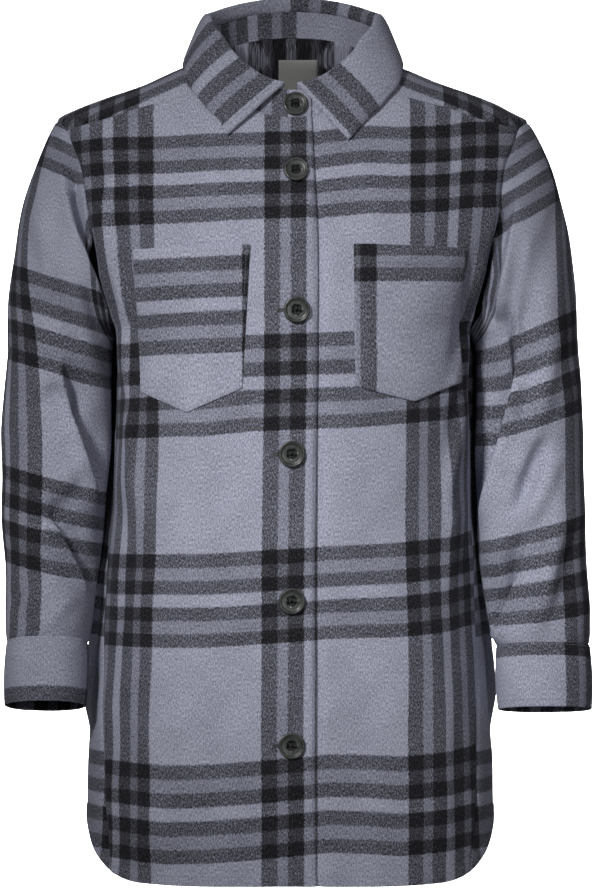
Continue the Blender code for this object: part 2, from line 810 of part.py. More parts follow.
def yoke_inner():
    """Neckline of the yoke, with a column for each one of its outer boundary."""
    corner = turn_at(*YOKE_FRONT[0])
    end = math.radians(SIDE_SPAN_TURN)
    arm = len(YOKE_ARM_ROWS) - 1
    first = [mix(corner, end, smooth_out(k / arm)) for k in range(arm)]
    middle = [mix(end, 2 * math.pi - end, k / BACK_COLUMNS) for k in range(BACK_COLUMNS + 1)]
    last = [2 * math.pi - turn for turn in reversed(first)]
    turns = first + middle + last
    spots = [(turn, neck_z(turn)) for turn in turns]
    spots[0] = (corner, YOKE_FRONT[0][1])
    spots[-1] = (2 * math.pi - corner, YOKE_FRONT[0][1])
    return spots


def smooth_out(share):
    """Short steps first, where the neckline bends most."""
    return share**YOKE_SHORT_FIRST


def yoke_spots():
    inner = yoke_inner()
    outer = yoke_outer()
    seam = [(turn, z) for turn, z, _ in yoke_front_spots(1)]
    rows = []
    steps = len(seam) - 1
    for i, (seam_turn, seam_z) in enumerate(seam):
        share = i / steps
        row = []
        for j, ((t0, z0), (t1, z1)) in enumerate(zip(inner, outer)):
            near = max(0.0, 1 - j / YOKE_FADE) - max(0.0, 1 - (len(inner) - 1 - j) / YOKE_FADE)
            away = abs(near)
            straight_turn = mix(seam[0][0], seam[-1][0], share)
            straight_z = mix(seam[0][1], seam[-1][1], share)
            turn = mix(t0, t1, share) + near * (seam_turn - straight_turn)
            z = mix(z0, z1, share) + away * (seam_z - straight_z)
            row.append((turn, z, 0.0))
        rows.append(row)
    rows.reverse()
    return rows


def make_yoke(loops):
    spots = yoke_spots()
    start = len(FRONT_ARM_ROWS)
    count = len(YOKE_ARM_ROWS)
    last = len(spots[0]) - 1
    edges = []
    for k in range(count):
        edges.append((0, k, loops[1][start + k]))
        edges.append((0, last - k, loops[-1][start + k]))
    panel("yoke", spots, edges)


# Collar


def neck_spots():
    """The whole neckline from the lower front's edge round to the upper front's."""
    under = front_top(1, UNDER_NECK)[: len(UNDER_NECK) - 1]
    over = front_top(-1, OVER_NECK)[: len(OVER_NECK) - 1]
    middle = [(turn, z, 0.0) for turn, z in yoke_inner()]
    over_turned = [(turn + 2 * math.pi, z, lift) for turn, z, lift in reversed(over)]
    return under + middle + over_turned


def plan_normals(points):
    """Outward directions across a line of points, level with the ground."""
    normals = []
    for i in range(len(points)):
        along = points[min(i + 1, len(points) - 1)] - points[max(i - 1, 0)]
        normals.append(Vector((along.y, -along.x, 0)).normalized())
    return normals


def stand_lines():
    """Bottom and top lines of the stand, with their wall directions."""
    spots = neck_spots()
    flat = [body(turn, z) for turn, z, _ in spots]
    out = plan_normals(flat)
    bottom = [body(turn, z) + body_normal(turn, z) * lift for turn, z, lift in spots]
    seam_way = [body_normal(turn, z) for turn, z, _ in spots]
    top = []
    for (turn, _, lift), base, way in zip(spots, flat, out):
        lean = stand_lean(from_front(turn))
        top.append(base + Vector((0, 0, STAND_HEIGHT)) + way * (lean + lift))
    return bottom, top, seam_way, out


def make_stand():
    bottom, top, seam_way, out = stand_lines()
    rows = [[b.lerp(t, i / STAND_ROWS) for b, t in zip(bottom, top)] for i in range(STAND_ROWS + 1)]
    rows = pulled(rows, STAND_GAP)
    ways = [seam_way] + [out] * STAND_ROWS
    inner = [[p - w * WALL for p, w in zip(line, way)] for line, way in zip(rows, ways)]
    wall("collar_stand", rows, inner)
    return top, out


def leaf_edge_point(share, right):
    degrees, z, lift = (value(share) for value in leaf_edge)
    turn = math.radians(degrees)
    if right:
        near = smooth(1 - share / TIP_SHARE)
        turn = -(turn + math.radians(TIP_RIGHT[0]) * near)
        z += TIP_RIGHT[1] * near
    return body(turn, z) + body_normal(turn, z) * lift


def bezier(a, b, c, d, share):
    rest = 1 - share
    return a * rest**3 + b * 3 * rest * rest * share + c * 3 * rest * share * share + d * share**3


def leaf_lines(top, out):
    """One line for each neckline column: up from the stand, over the roll, down."""
    chosen = range(LEAF_START, len(top) - LEAF_START)
    starts = [top[j] - out[j] * WALL / 2 + Vector((0, 0, 2 * SEAM)) for j in chosen]
    ways = [out[j] for j in chosen]
    steps = [0.0]
    for a, b in zip(starts, starts[1:]):
        steps.append(steps[-1] + (b - a).length)
    lines = []
    for start, way, run in zip(starts, ways, steps):
        whole = 2 * run / steps[-1]
        right = whole > 1
        share = 2 - whole if right else whole
        lines.append(leaf_line(start, way, share, right))
    return lines


def leaf_line(start, way, share, right):
    rise = leaf_rise(share)
    roll = leaf_roll(share)
    peak = start + Vector((0, 0, rise)) + way * roll * LEAF_PEAK
    edge = leaf_edge_point(share, right)
    upright = start + Vector((0, 0, rise)) * LEAF_UPRIGHT
    before = peak - way * roll * LEAF_LEAN
    line = [bezier(start, upright, before, peak, k) for k in LEAF_STEPS]
    shoulder = peak + way * roll * LEAF_SHOULDER
    hang = edge + (peak - edge) * LEAF_HANG + way * LEAF_SWELL
    return line + [bezier(peak, shoulder, hang, edge, k) for k in FALL_STEPS]


def make_leaf(top, out):
    lines = leaf_lines(top, out)
    rows = [list(row) for row in zip(*lines)]
    normals = grid_normals(rows, 1, tube=False)
    half = LEAF_WALL / 2
    seen = [[p + n * half for p, n in zip(row, line)] for row, line in zip(rows, normals)]
    hidden = [[p - n * half for p, n in zip(row, line)] for row, line in zip(rows, normals)]
    seen.reverse()
    hidden.reverse()
    wall("collar", seen, hidden)


# Pockets, buttons and label


def make_pocket(name, corners):
    top_in, top_out, low_out, tip, low_in = (Vector(corner) for corner in corners)
    side = 1 if name.endswith("left") else -1
    middle = POCKET_COLUMNS // 2
    outer = []
    inner = []
    for i in range(POCKET_ROWS + 1):
        line = []
        under = []
        for j in range(POCKET_COLUMNS + 1):
            if j <= middle:
                base = low_in.lerp(tip, j / middle)
            else:
                base = tip.lerp(low_out, (j - middle) / (POCKET_COLUMNS - middle))
            spot = base.lerp(top_in.lerp(top_out, j / POCKET_COLUMNS), i / POCKET_ROWS)
            turn = turn_at(spot.x, spot.y)
            normal = body_normal(turn, spot.y)
            point = body(turn, spot.y)
            line.append(point + normal * (POCKET_LIFT + POCKET_WALL))
            under.append(point + normal * POCKET_LIFT)
        outer.append(line if side > 0 else list(reversed(line)))
        inner.append(under if side > 0 else list(reversed(under)))
    wall(name, outer, inner)


def disc_plate(outline, holes, upward):
    """Triangles of a disc with holes, as indices into outline then holes."""
    points = outline + [p for hole in holes for p in hole]
    loops = [list(range(len(outline)))]
    start = len(outline)
    for hole in holes:
        loops.append(list(range(start, start + len(hole))))
        start += len(hole)
    edges = [(loop[k - 1], loop[k]) for loop in loops for k in range(len(loop))]
    found = delaunay_2d_cdt([Vector(p) for p in points], edges, [], 0, PLATE_MERGE)
    faces = []
    for face in found[2]:
        middle = sum((found[0][k] for k in face), Vector((0, 0))) / len(face)
        if any((middle - hole_middle(hole)).length < hole_reach(hole) for hole in holes):
            continue
        faces.append(oriented(face, found[0], upward))
    return faces


def hole_middle(hole):
    return sum((Vector(p) for p in hole), Vector((0, 0))) / len(hole)


def hole_reach(hole):
    return (Vector(hole[0]) - hole_middle(hole)).length * HOLE_INSIDE


def oriented(face, points, upward):
    a, b, c = (points[k] for k in face[:3])
    turn = (b - a).cross(c - a)
    return tuple(face) if (turn > 0) == upward else tuple(reversed(face))


def circle(radius, sides, middle=(0, 0)):
    return [
        (
            middle[0] + radius * math.cos(2 * math.pi * k / sides),
            middle[1] + radius * math.sin(2 * math.pi * k / sides),
        )
        for k in range(sides)
    ]


def button_mesh(diameter):
    """Points and faces of a dished button with four holes, lying on its back."""
    rings = [(circle(diameter * (0.5 - inset), BUTTON_SIDES), diameter * h) for inset, h in BUTTON_SECTION]
    reach = diameter * HOLE_OFFSET
    places = [(reach, reach), (-reach, reach), (-reach, -reach), (reach, -reach)]
    holes = [circle(diameter * HOLE_RADIUS, HOLE_SIDES, place) for place in places]
    points = [Vector((x, y, h)) for ring, h in rings for x, y in ring]
    faces = []
    for i in range(len(rings) - 1):
        for j in range(BUTTON_SIDES):
            k = (j + 1) % BUTTON_SIDES
            a, b = i * BUTTON_SIDES + j, i * BUTTON_SIDES + k
            faces.append((a, b, b + BUTTON_SIDES, a + BUTTON_SIDES))
    floor = len(points)
    for height in (rings[0][1], rings[-1][1]):
        points += [Vector((x, y, height)) for hole in holes for x, y in hole]
    size = len(holes) * HOLE_SIDES
    top_ring = (len(rings) - 1) * BUTTON_SIDES
    for upward, ring_at, hole_at in ((False, 0, floor), (True, top_ring, floor + size)):
        outline = rings[-1][0] if upward else rings[0][0]
        for face in disc_plate(outline, holes, upward):
            faces.append(
                tuple(ring_at + k if k < BUTTON_SIDES else hole_at + k - BUTTON_SIDES for k in face)
            )
    for h in range(len(holes)):
        for j in range(HOLE_SIDES):
            a = floor + h * HOLE_SIDES + j
            b = floor + h * HOLE_SIDES + (j + 1) % HOLE_SIDES
            faces.append((b, a, a + size, b + size))
    return points, faces


def make_button(name, place, normal, up, diameter):
    points, faces = button_mesh(diameter)
    side = up.cross(normal).normalized()
    true_up = normal.cross(side)
    placed = [place + side * p.x + true_up * p.y + normal * p.z for p in points]
    make(name, placed, faces, "button")


def make_front_buttons():
    for name, x, z, diameter in BUTTONS:
        if name == "button_collar":
            place, normal = stand_place(x, z)
        else:
            turn = turn_at(x, z)
            normal = body_normal(turn, z)
            place = body(turn, z)
        make_button(name, place + normal * BUTTON_LIFT, normal, Vector((0, 0, 1)), diameter)


def stand_place(x, z):
    """A point on the front of the stand and its normal."""
    low_z = neck_z(0)
    share = (z - low_z) / STAND_HEIGHT
    low = body(turn_at(x, low_z), low_z)
    lean = stand_lean(0)
    point = low + Vector((0, -lean, STAND_HEIGHT)) * share
    normal = Vector((0, -STAND_HEIGHT, -lean)).normalized()
    return point, normal


def make_label():
    width, height = LABEL_SIZE
    outer = []
    inner = []
    for i in range(LABEL_ROWS + 1):
        z = LABEL_TOP - height + i * height / LABEL_ROWS
        line = []
        under = []
        for j in range(LABEL_COLUMNS + 1):
            x = LABEL_MIDDLE + width * (0.5 - j / LABEL_COLUMNS)
            turn = turn_at(x, z, back=True)
            normal = body_normal(turn, z)
            point = body(turn, z) - normal * (WALL + LAY)
            line.append(point)
            under.append(point - normal * LABEL_WALL)
        outer.append(line)
        inner.append(under)
    wall("label", outer, inner, "label")


def make_materials():
    made = {}
    for name, (colour, roughness) in MATERIALS.items():
        material = bpy.data.materials.new(name)
        material.use_nodes = True
        shader = material.node_tree.nodes["Principled BSDF"]
        shader.inputs["Base Color"].default_value = (*colour, 1)
        shader.inputs["Roughness"].default_value = roughness
        shader.inputs["Metallic"].default_value = 0
        made[name] = material
    return made


def clear():
    for thing in list(bpy.data.objects):
        bpy.data.objects.remove(thing)


def main():
    loops = {side: armhole(side) for side in (1, -1)}
    make_front(1, "front_left", UNDER_NECK, loops[1])
    make_front(-1, "front_right", OVER_NECK, loops[-1])
    make_back(loops)
    make_yoke(loops)
    top, out = make_stand()
    make_leaf(top, out)
    for side, word in ((1, "left"), (-1, "right")):
        ways = make_sleeve(side, f"sleeve_{word}", loops[side])
        place, normal, axis = make_cuff(side, f"cuff_{word}", loops[side], ways)
        make_button(f"button_cuff_{word}", place + normal * BUTTON_LIFT, normal, -axis, CUFF_BUTTON)
    for name, corners in POCKETS.items():
        make_pocket(name, corners)
    make_front_buttons()
    make_label()


clear()
materials = make_materials()
main()
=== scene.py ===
"""Dresses the plaid overshirt: brushed checked cloth, seams, buttons and stitching.

Each piece of cloth is a thin shell on the same surface as its CAD solid, with finer
creases. Tables and sizes are in millimetres. +Z is up, the front faces -Y, and +X is
the wearer's left.
"""

import math

import bpy
import numpy as np
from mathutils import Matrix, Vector
from mathutils.geometry import delaunay_2d_cdt


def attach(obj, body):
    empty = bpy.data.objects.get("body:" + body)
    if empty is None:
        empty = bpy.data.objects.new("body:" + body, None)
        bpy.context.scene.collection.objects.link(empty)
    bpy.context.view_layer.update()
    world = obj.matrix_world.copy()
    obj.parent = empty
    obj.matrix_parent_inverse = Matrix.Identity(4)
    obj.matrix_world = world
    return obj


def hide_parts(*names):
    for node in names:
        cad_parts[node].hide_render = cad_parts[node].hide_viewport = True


MM = 0.001
WORDS = {1: "left", -1: "right"}  # sides of the wearer

# Cloth
WALL = 2.0
SEAM = 0.15  # each piece stops this far short of a seam line
LAY = 0.7  # between two layers that lie on each other
ROUND = 2.25  # exponent of the body's rings, 2 being an ellipse
POWER = 2 / ROUND
FOLD_FADE = 0.4  # folds end where the body turns to the side
ARMPIT = -243

# Body rings: height, centre, half width, depth to the front, depth to the back
RINGS = (
    (-800, -2.4, 197.0, 141, 146),
    (-700, -2.4, 195.5, 140, 144),
    (-605, -3.0, 191.5, 137, 141),
    (-557, -2.5, 186.0, 135, 138),
    (-499, -2.5, 181.0, 133, 134),
    (-420, -2.0, 173.5, 131, 130),
    (-346, -1.0, 169.5, 131, 128),
    (-262, 0.0, 168.5, 132, 129),
    (-243, 0.0, 169.0, 132, 129.5),
    (-225, 0.0, 177.0, 132, 130),
    (-200, 0.0, 189.0, 130, 130),
    (-160, 0.0, 206.0, 125, 129),
    (-120, 0.0, 219.0, 117, 122),
    (-80, 0.0, 228.0, 106, 108),
    (-60, 0.0, 229.5, 98, 98),
    (-50, 0.0, 229.0, 94.5, 93.5),
    (-40, 0.0, 226.0, 90.5, 89),
    (-29, 0.0, 206.0, 86, 84), (-17, 0.0, 177.0, 82, 80), (-6, 0.0, 145.5, 79, 77),
    (5, 0.0, 119.0, 76, 74),
    (10, 0.0, 106.0, 74.5, 72.5),
    (15, 0.0, 94.0, 73, 71),
    (20, 0.0, 84.5, 71.5, 69.5),
    (24, 0.0, 81.0, 70.5, 69), (34, 0.0, 78.5, 69, 68.5), (60, 0.0, 77.0, 68, 69),
)
# Armhole seam: height, distance from the centre
ARMHOLE = (
    (-243, 169.0), (-238, 169.3), (-228, 171.0), (-212, 173.5), (-190, 178.5), (-165, 183.0),
    (-140, 189.0), (-112, 195.5), (-85, 201.0), (-70, 205.5), (-52, 214.0), (-46, 219.0),
    (-40, 226.0),
)
# Side seam: height, turn in degrees from the centre front
SIDE_SEAM = ((-800, 55), (-757, 57), (-700, 61), (-600, 67), (-500, 76), (-400, 83), (-300, 88), (-243, 90))
# Neckline: turn in degrees, height
NECKLINE = (
    (0, -44), (3.7, -42), (8.7, -33.5), (15.1, -20), (20.9, -11), (30.7, 0), (48.9, 12), (70, 20),
    (90, 24), (110, 29), (130, 36), (150, 43), (165, 46.5), (180, 48),
)
# Hem: turn in degrees, height
HEM = (
    (0, -757), (30, -758), (45, -757), (57, -750), (70, -731), (80, -713), (92, -703), (104, -712),
    (120, -740), (135, -756), (180, -764),
)
# Front yoke seam from the neckline to the armhole: distance from the centre, height
YOKE_FRONT = ((64, -11), (93, -19), (120, -26), (146, -33), (170, -41), (193, -46.5), (214, -52))
YOKE_BACK = -85
# Edge of the upper front: height, distance past the centre
LAP_EDGE = ((-800, 21.3), (-400, 22), (-180, 23.5), (-44, 17))
LAP_RAMP = 11  # the lower front comes back up over this width

# Rows of the panels, as heights at the side seam
HEM_SIDE = -750
SIDE_ROWS = (-700, -650, -600, -550, -500, -450, -400, -350, -305, -268, -243)
FRONT_ARM_ROWS = (-228, -212, -190, -165, -140, -112, -85, -52)
BACK_ARM_ROWS = (-228, -212, -190, -165, -140, -112, -85)
YOKE_ARM_ROWS = (-52, -46, -41.5, -40, -42.5, -52, -70, -85)
YOKE_ARM_TOP = 3  # the entry of YOKE_ARM_ROWS at the shoulder point
OVER_NECK = (17, 4, -9, -22, -35, -49, -64)
UNDER_NECK = (-24, -9, 5, 18, 30, 46, 64)
BACK_COLUMNS = 22
SIDE_SPAN_TURN = 108  # the armhole's share of the neckline ends at this turn

# Large folds: front or back, start, end, width, height; below 0 is a trough
BODY_FOLDS = (
    ("front", 194, -118, 174, -280, 28, 3),
    ("front", 160, -300, 143, -440, 28, 4),
    ("front", -184, -118, -168, -280, 30, 4),
    ("front", -156, -310, -149, -400, 26, 3.5),
    ("front", -95, -470, -112, -760, 70, 4),
    ("front", 108, -500, 118, -760, 66, 4),
    ("front", 60, -420, 66, -700, 60, -2.5),
    ("back", 146, -140, 132, -420, 34, 6),
    ("back", -150, -130, -138, -400, 34, 6),
    ("back", 70, -200, 92, -620, 60, 5),
    ("back", -64, -240, -80, -640, 60, 5),
    ("back", 8, -330, 2, -770, 76, -5),
    ("back", 128, -500, 120, -770, 60, 4),
    ("back", -126, -480, -122, -770, 60, 4),
)
# Sleeves carry the wearer's left (+1) or right (-1) side first
SLEEVE_FOLDS = (
    (-1, "front", 218, -80, 192, -168, 26, -5),
    (-1, "front", 192, -168, 172, -235, 24, -4),
    (-1, "front", 236, -120, 214, -230, 26, 3),
    (-1, "front", 212, -300, 236, -345, 30, -4),
    (-1, "front", 230, -410, 196, -478, 26, -5),
    (-1, "front", 246, -448, 214, -505, 24, 3.5),
    (1, "front", 226, -150, 214, -300, 24, -5),
    (1, "front", 246, -170, 240, -300, 26, 3),
    (1, "front", 236, -350, 220, -402, 26, -4),
    (1, "front", 230, -425, 200, -525, 26, -6),
    (1, "front", 254, -420, 232, -500, 26, 4),
    (-1, "back", 206, -110, 196, -240, 28, -4),
    (-1, "back", 214, -330, 250, -372, 34, -5),
    (-1, "back", 206, -400, 246, -440, 32, -5),
    (1, "back", 208, -110, 198, -240, 28, -4),
    (1, "back", 214, -330, 250, -366, 34, -5),
    (1, "back", 210, -396, 248, -440, 32, -5),
)

# Sleeve rings: height, inner side, outer side, middle in Y, half depth, tilt in degrees
SLEEVE_RINGS = {
    1: (
        (-262, 175.5, 273.5, 0, 64, 0), (-300, 175.0, 276.5, -3, 63, 1),
        (-346, 175.0, 277.5, -8, 61, 3), (-392, 175.5, 278.0, -14, 59, 5),
        (-436, 176.5, 279.5, -20, 57, 7), (-478, 180.0, 281.0, -27, 54, 8),
        (-510, 184.5, 283.0, -31, 52, 8), (-530, 189.0, 283.0, -34, 48, 8),
        (-541, 193.5, 281.5, -36, 44.5, 8),
    ),
    -1: (
        (-262, 173.0, 273.5, 0, 64, 0), (-300, 173.5, 277.0, -3, 63, 1),
        (-346, 174.0, 279.5, -9, 61, 4), (-392, 177.0, 279.0, -17, 59, 7),
        (-436, 182.0, 276.5, -26, 56, 9), (-478, 186.0, 273.5, -36, 53, 11),
        (-508, 189.0, 272.0, -42, 50, 11), (-526, 192.0, 271.5, -46, 46, 11),
        (-537, 194.5, 270.5, -48, 42.5, 11),
    ),
}
SLEEVE_LEAVE = 0.30  # how stiffly the sleeve leaves the armhole
SLEEVE_ARRIVE = 0.40
CAP_ROWS = 7
CUFF_HEIGHT = 60
CUFF_FLARE = 1.5
CUFF_LAP_TURN = 62  # degrees from the outer side towards the back
CUFF_LAP_COLUMNS = 2

# Collar: share of the way from its front end to the centre back
STAND_HEIGHT = 26
STAND_LEAN = ((0, -7), (20.9, -4), (60, -2), (90, -1), (140, 2), (180, 3))  # by turn
LEAF_WALL = 2.2
LEAF_START = 2  # first neckline column that carries the collar leaf
LEAF_RISE = ((0.0, 5.5), (0.12, 9), (0.25, 12), (0.6, 12), (1.0, 12))
LEAF_ROLL = ((0.0, 5.0), (0.12, 5.5), (0.3, 6), (0.6, 6.5), (1.0, 7.5))
# Outer edge of the leaf: share, turn in degrees, height, distance off the body
LEAF_EDGE = (
    (0.00, 10.8, -66, 3.6), (0.12, 15.0, -46, 3.6), (0.22, 23.8, -25, 3.6), (0.32, 39.0, -8, 3.6),
    (0.45, 60.0, 6, 3.8), (0.56, 88.0, 12, 4.5), (0.70, 124.0, 14, 9), (0.85, 152.0, 18, 13),
    (1.00, 180.0, 22, 15),
)
TIP_RIGHT = (2.2, 5)  # the wearer's right tip lies this much further round and higher

# Pockets: corners as distance from the centre and height
POCKETS = {
    "pocket_left": ((56.7, -164.6), (160.5, -166.4), (155, -291), (113, -309.4), (58, -295.5)),
    "pocket_right": ((-40, -165.5), (-148, -168.3), (-141, -300.2), (-98, -319.7), (-47.4, -297.4)),
}

# Buttons: name, distance from the centre, height, diameter
BUTTONS = (
    ("button_collar", 2.5, -31.5, 23),
    ("button_1", 3.1, -94.3, 23),
    ("button_2", 3.7, -225.4, 24.5),
    ("button_3", -0.9, -358.7, 24.5),
    ("button_4", -0.9, -494.7, 24.5),
    ("button_5", -0.9, -627.8, 24.5),
)
CUFF_BUTTON = 17
BUTTON_LIFT = 0.5
HOLE_OFFSET = 0.095
HOLE_RADIUS = 0.045

LABEL_TOP = 26
LABEL_SIZE = (38, 34)
LABEL_MIDDLE = 5
LABEL_WALL = 1.0

# Finer creases by part and side: start, end, width, height; below 0 is a trough
CREASES = {
    ("front", "front"): (
        (176, -232, 150, -300, 13, 2.6), (165, -262, 146, -345, 11, -2.2),
        (160, -400, 146, -480, 14, 2.2), (186, -170, 172, -236, 12, -2.4),
        (-182, -196, -160, -290, 13, 2.8), (-172, -250, -150, -330, 11, -2.4),
        (-155, -330, -147, -440, 13, 2.4), (-150, -430, -160, -520, 13, -1.8),
        (20, -520, 26, -640, 20, 1.2), (-60, -560, -66, -690, 24, -1.4),
        (-124, -560, -136, -740, 22, 2.0), (136, -560, 148, -740, 22, 2.0),
        (150, -640, 160, -740, 14, -1.8), (120, -92, 190, -110, 22, -1.8),
        (-110, -88, -180, -104, 22, -1.8), (90, -60, 150, -90, 20, 1.4),
        (22.5, -40, 23.5, -740, 6.5, -3.2), (193, -124, 179, -190, 10, 3),
        (179, -190, 164, -276, 9, 3.5), (164, -276, 160, -330, 9, 3), (160, -330, 146, -392, 9, 3),
        (146, -392, 149, -430, 9, 2.5), (-181, -115, -177, -146, 9, 3),
        (-177, -146, -160, -218, 9, 3.5), (-160, -218, -156, -292, 9, 3.5),
        (-156, -292, -152, -350, 9, 3), (168, -180, 150, -260, 9, -3), (-166, -150, -148, -230, 9, -3),
    ),
    ("back", "back"): (
        (180, -150, 140, -240, 16, -3.0), (170, -190, 130, -300, 16, 3.0),
        (-178, -150, -140, -250, 16, -3.0), (-168, -200, -126, -310, 16, 3.0),
        (40, -300, 52, -520, 26, 2.2), (-36, -280, -48, -540, 26, 2.2),
        (100, -420, 112, -640, 26, -2.2), (-104, -400, -110, -640, 26, -2.2),
        (30, -560, 36, -740, 24, 2.4), (-40, -580, -44, -740, 24, -2.0),
    ),
    ("sleeve_right", "front"): (
        (226, -296, 204, -322, 13, -5), (238, -318, 216, -345, 15, 4), (246, -398, 222, -446, 14, 4),
        (240, -140, 222, -250, 15, 3), (226, -300, 250, -330, 14, -2.2),
        (200, -366, 232, -402, 14, 2.6), (198, -392, 236, -424, 12, -3.0),
        (206, -420, 244, -446, 12, 2.6), (236, -470, 262, -500, 12, -2.4),
        (206, -492, 232, -520, 12, 2.0), (244, -160, 226, -250, 14, -2.2),
        (204, -196, 190, -270, 12, 2.2),
    ),
    ("sleeve_left", "front"): (
        (222, -150, 214, -230, 14, 4), (246, -250, 232, -330, 14, 4), (236, -350, 210, -408, 12, -8),
        (246, -366, 224, -420, 14, 5), (252, -430, 228, -520, 14, 4), (222, -210, 206, -300, 12, -3.0),
        (206, -330, 236, -356, 14, 2.6), (202, -378, 246, -402, 12, -2.6),
        (208, -452, 244, -470, 12, 2.2), (212, -476, 196, -520, 12, -3.2),
        (262, -440, 250, -510, 14, -2.2), (250, -120, 238, -200, 14, -2.0),
    ),
    ("sleeve_right", "back"): (
        (200, -350, 262, -392, 13, 3.0), (210, -420, 256, -452, 12, 2.6),
        (240, -180, 224, -280, 16, 2.6), (220, -470, 250, -500, 12, -2.6),
    ),
    ("sleeve_left", "back"): (
        (202, -346, 262, -384, 13, 3.0), (210, -414, 258, -448, 12, 2.6),
        (240, -176, 226, -270, 16, 2.6), (222, -466, 252, -500, 12, -2.6),
    ),
}
# Overhanging folds on a sleeve's front: width of the hollow beside the fold, then its
# path as height, distance from the centre and depth. The cloth drops towards the body.
LIPS = {
    "sleeve_right": (
        (
            15,
            (
                (-232, 172, 20), (-216, 179, 22), (-170, 195, 21), (-139, 207, 19), (-111, 214, 14),
                (-82, 218, 8),
            ),
        ),
        (34, ((-404, 186, 16), (-384, 190, 24), (-330, 206, 26), (-278, 220, 13))),
        (22, ((-480, 196, 14), (-446, 213, 18), (-416, 231, 9))),
    ),
    "sleeve_left": (
        (
            46,
            (
                (-424, 178, 16), (-398, 184, 27), (-338, 199, 34), (-300, 207, 32), (-262, 213, 21),
                (-225, 211, 9),
            ),
        ),
        (22, ((-232, 190, 12), (-190, 198, 16), (-150, 206, 14), (-118, 212, 8))),
        (30, ((-545, 184, 18), (-505, 199, 25), (-472, 212, 20), (-440, 222, 9))),
    ),
}
LIP_EDGE = 6.0  # the cloth drops within this distance
LIP_BACK = 15.0  # and swells over this one on the other side
LIP_SWELL = 0.25  # share of the drop that it swells
LIP_END = 26.0  # a fold fades over this much height
# Slow waves all over the cloth: direction, wave length, phase, height
WAVES = (
    ((1.0, 0.2, 0.35), 118, 0.4, 0.55),
    ((0.3, -0.5, 1.0), 84, 1.9, 0.40),
    ((-0.8, 0.6, 0.7), 61, 3.3, 0.30),
    ((0.9, 0.4, -0.8), 43, 5.1, 0.20),
)
CLOTH = 1.7  # thickness of one layer
FOLDED = 2.4  # thickness of two layers at an edge
TUCK = 0.9  # how deep an edge sinks into its seam

# The check, in mm along each yarn: start, darkness up to the next row
WARP_REPEAT = 195.7
WARP = ((0, 1.0), (15, 0.41), (25, 1.0), (39.5, 0.0), (50.5, 1.0), (65.5, 0.41), (75.5, 1.0), (90.5, 0.0))
WEFT_REPEAT = 197.0
WEFT = ((0, 1.0), (13, 0.41), (25.2, 1.0), (38.2, 0.0), (50.4, 1.0), (63.4, 0.41), (75.6, 1.0), (88.8, 0.0))
FUZZ = 1.1  # width of a stripe's soft edge
# Darkness of the cloth and its colour in 0 to 255; the nap goes past both ends
SHADES = (
    (-0.3, (196, 198, 215)),
    (0.0, (160, 162, 180)),
    (0.2, (137, 139, 155)),
    (0.5, (86, 87, 95)),
    (0.7, (58, 57, 65)),
    (1.0, (26, 26, 29)),
    (1.2, (16, 16, 18)),
)
# Noise of the cloth: scale along the weft and along the warp, detail, seed
NOISES = {
    "rough_u": (0.9, 0.35, 3.0, 3.0),
    "rough_v": (0.45, 0.9, 3.0, 7.0),
    "fleck": (0.95, 0.60, 2.0, 11.0),
    "heather": (0.85, 0.42, 3.0, 19.0),
    "cloudy": (0.035, 0.028, 2.0, 23.0),
}
ROUGH = (3.6, 4.2)  # how far the nap frays a stripe's edge, along each yarn
FLECK = 0.85
HEATHER = 1.5
CLOUDY = 0.22
TWILL = (2.6, 2.2)  # radians of the diagonal for each mm along both yarns
TWILL_SHARE = 0.07

# Height of a stripe, and where the weft pattern puts it
FRONT_WEFT = (
    (-800, -71), (-722.5, 6.6), (-644, 82.2), (-522.7, 203.6), (-448.8, 279.2), (-326.3, 400.6),
    (-250.5, 476.2), (-132, 597.6), (-62, 673.2), (20, 762),
)
SLEEVE_WEFT = {
    1: (
        (-700, -184), (-508.9, 6.6), (-431.5, 82.2), (-324.4, 203.6), (-240, 279.2),
        (-115, 400.6), (60, 575),
    ),
    -1: (
        (-700, -230), (-459.3, 6.6), (-381.6, 82.2), (-269.2, 203.6), (-189.6, 279.2),
        (-72, 400.6), (60, 540),
    ),
}
# How far the weft lies under its straight slope: height, then a value for each distance
DRIFT_AT = (-172, -115, -80, -41, 35, 69, 99, 144, 165)
DRIFT = (
    (-683, -4, 2, 2.5, 2, 0, 4, 9, 10, 9),
    (-485, -1, 1.5, 3.5, 4, 4, 5, 6, 5, 2),
    (-289, 1, 2, 4, 2, 5, 6, 5, 4, 0),
    (-97, -7, -3, -2, 0, 2.5, 1, 4, 4, 2),
)
# Slope of the sleeves' weft: height, fall towards the body
SLEEVE_SLOPE = {
    1: ((-520, -0.12), (-450, -0.25), (-350, -0.32), (-250, -0.42), (-130, -0.5), (-40, -0.55)),
    -1: ((-520, -0.2), (-400, -0.27), (-230, -0.31), (-40, -0.33)),
}
SLEEVE_MIDDLE = {1: 242, -1: 250.6}
# Inner edge of the sleeves' warp group: height, distance from the centre
SLEEVE_WARP = {
    1: (
        (-530, 255), (-345.6, 257.3), (-307, 255.4), (-272.6, 252.5), (-226.5, 248.6),
        (-192, 248.6), (-146.8, 250.6), (-107.5, 250.6), (-77.7, 241.4), (-44, 228.5),
    ),
    -1: (
        (-530, 236), (-345.6, 235.2), (-291.8, 238.6), (-249.6, 240.5), (-211, 248.6),
        (-178.5, 251.5), (-150.7, 251.5), (-105.6, 243.8), (-76.8, 237.1), (-48, 227.5),
    ),
}
# Where the warp group starts: the cloth's place at the piece's own zero
FRONT_WARP = {1: 110, -1: -26.8}
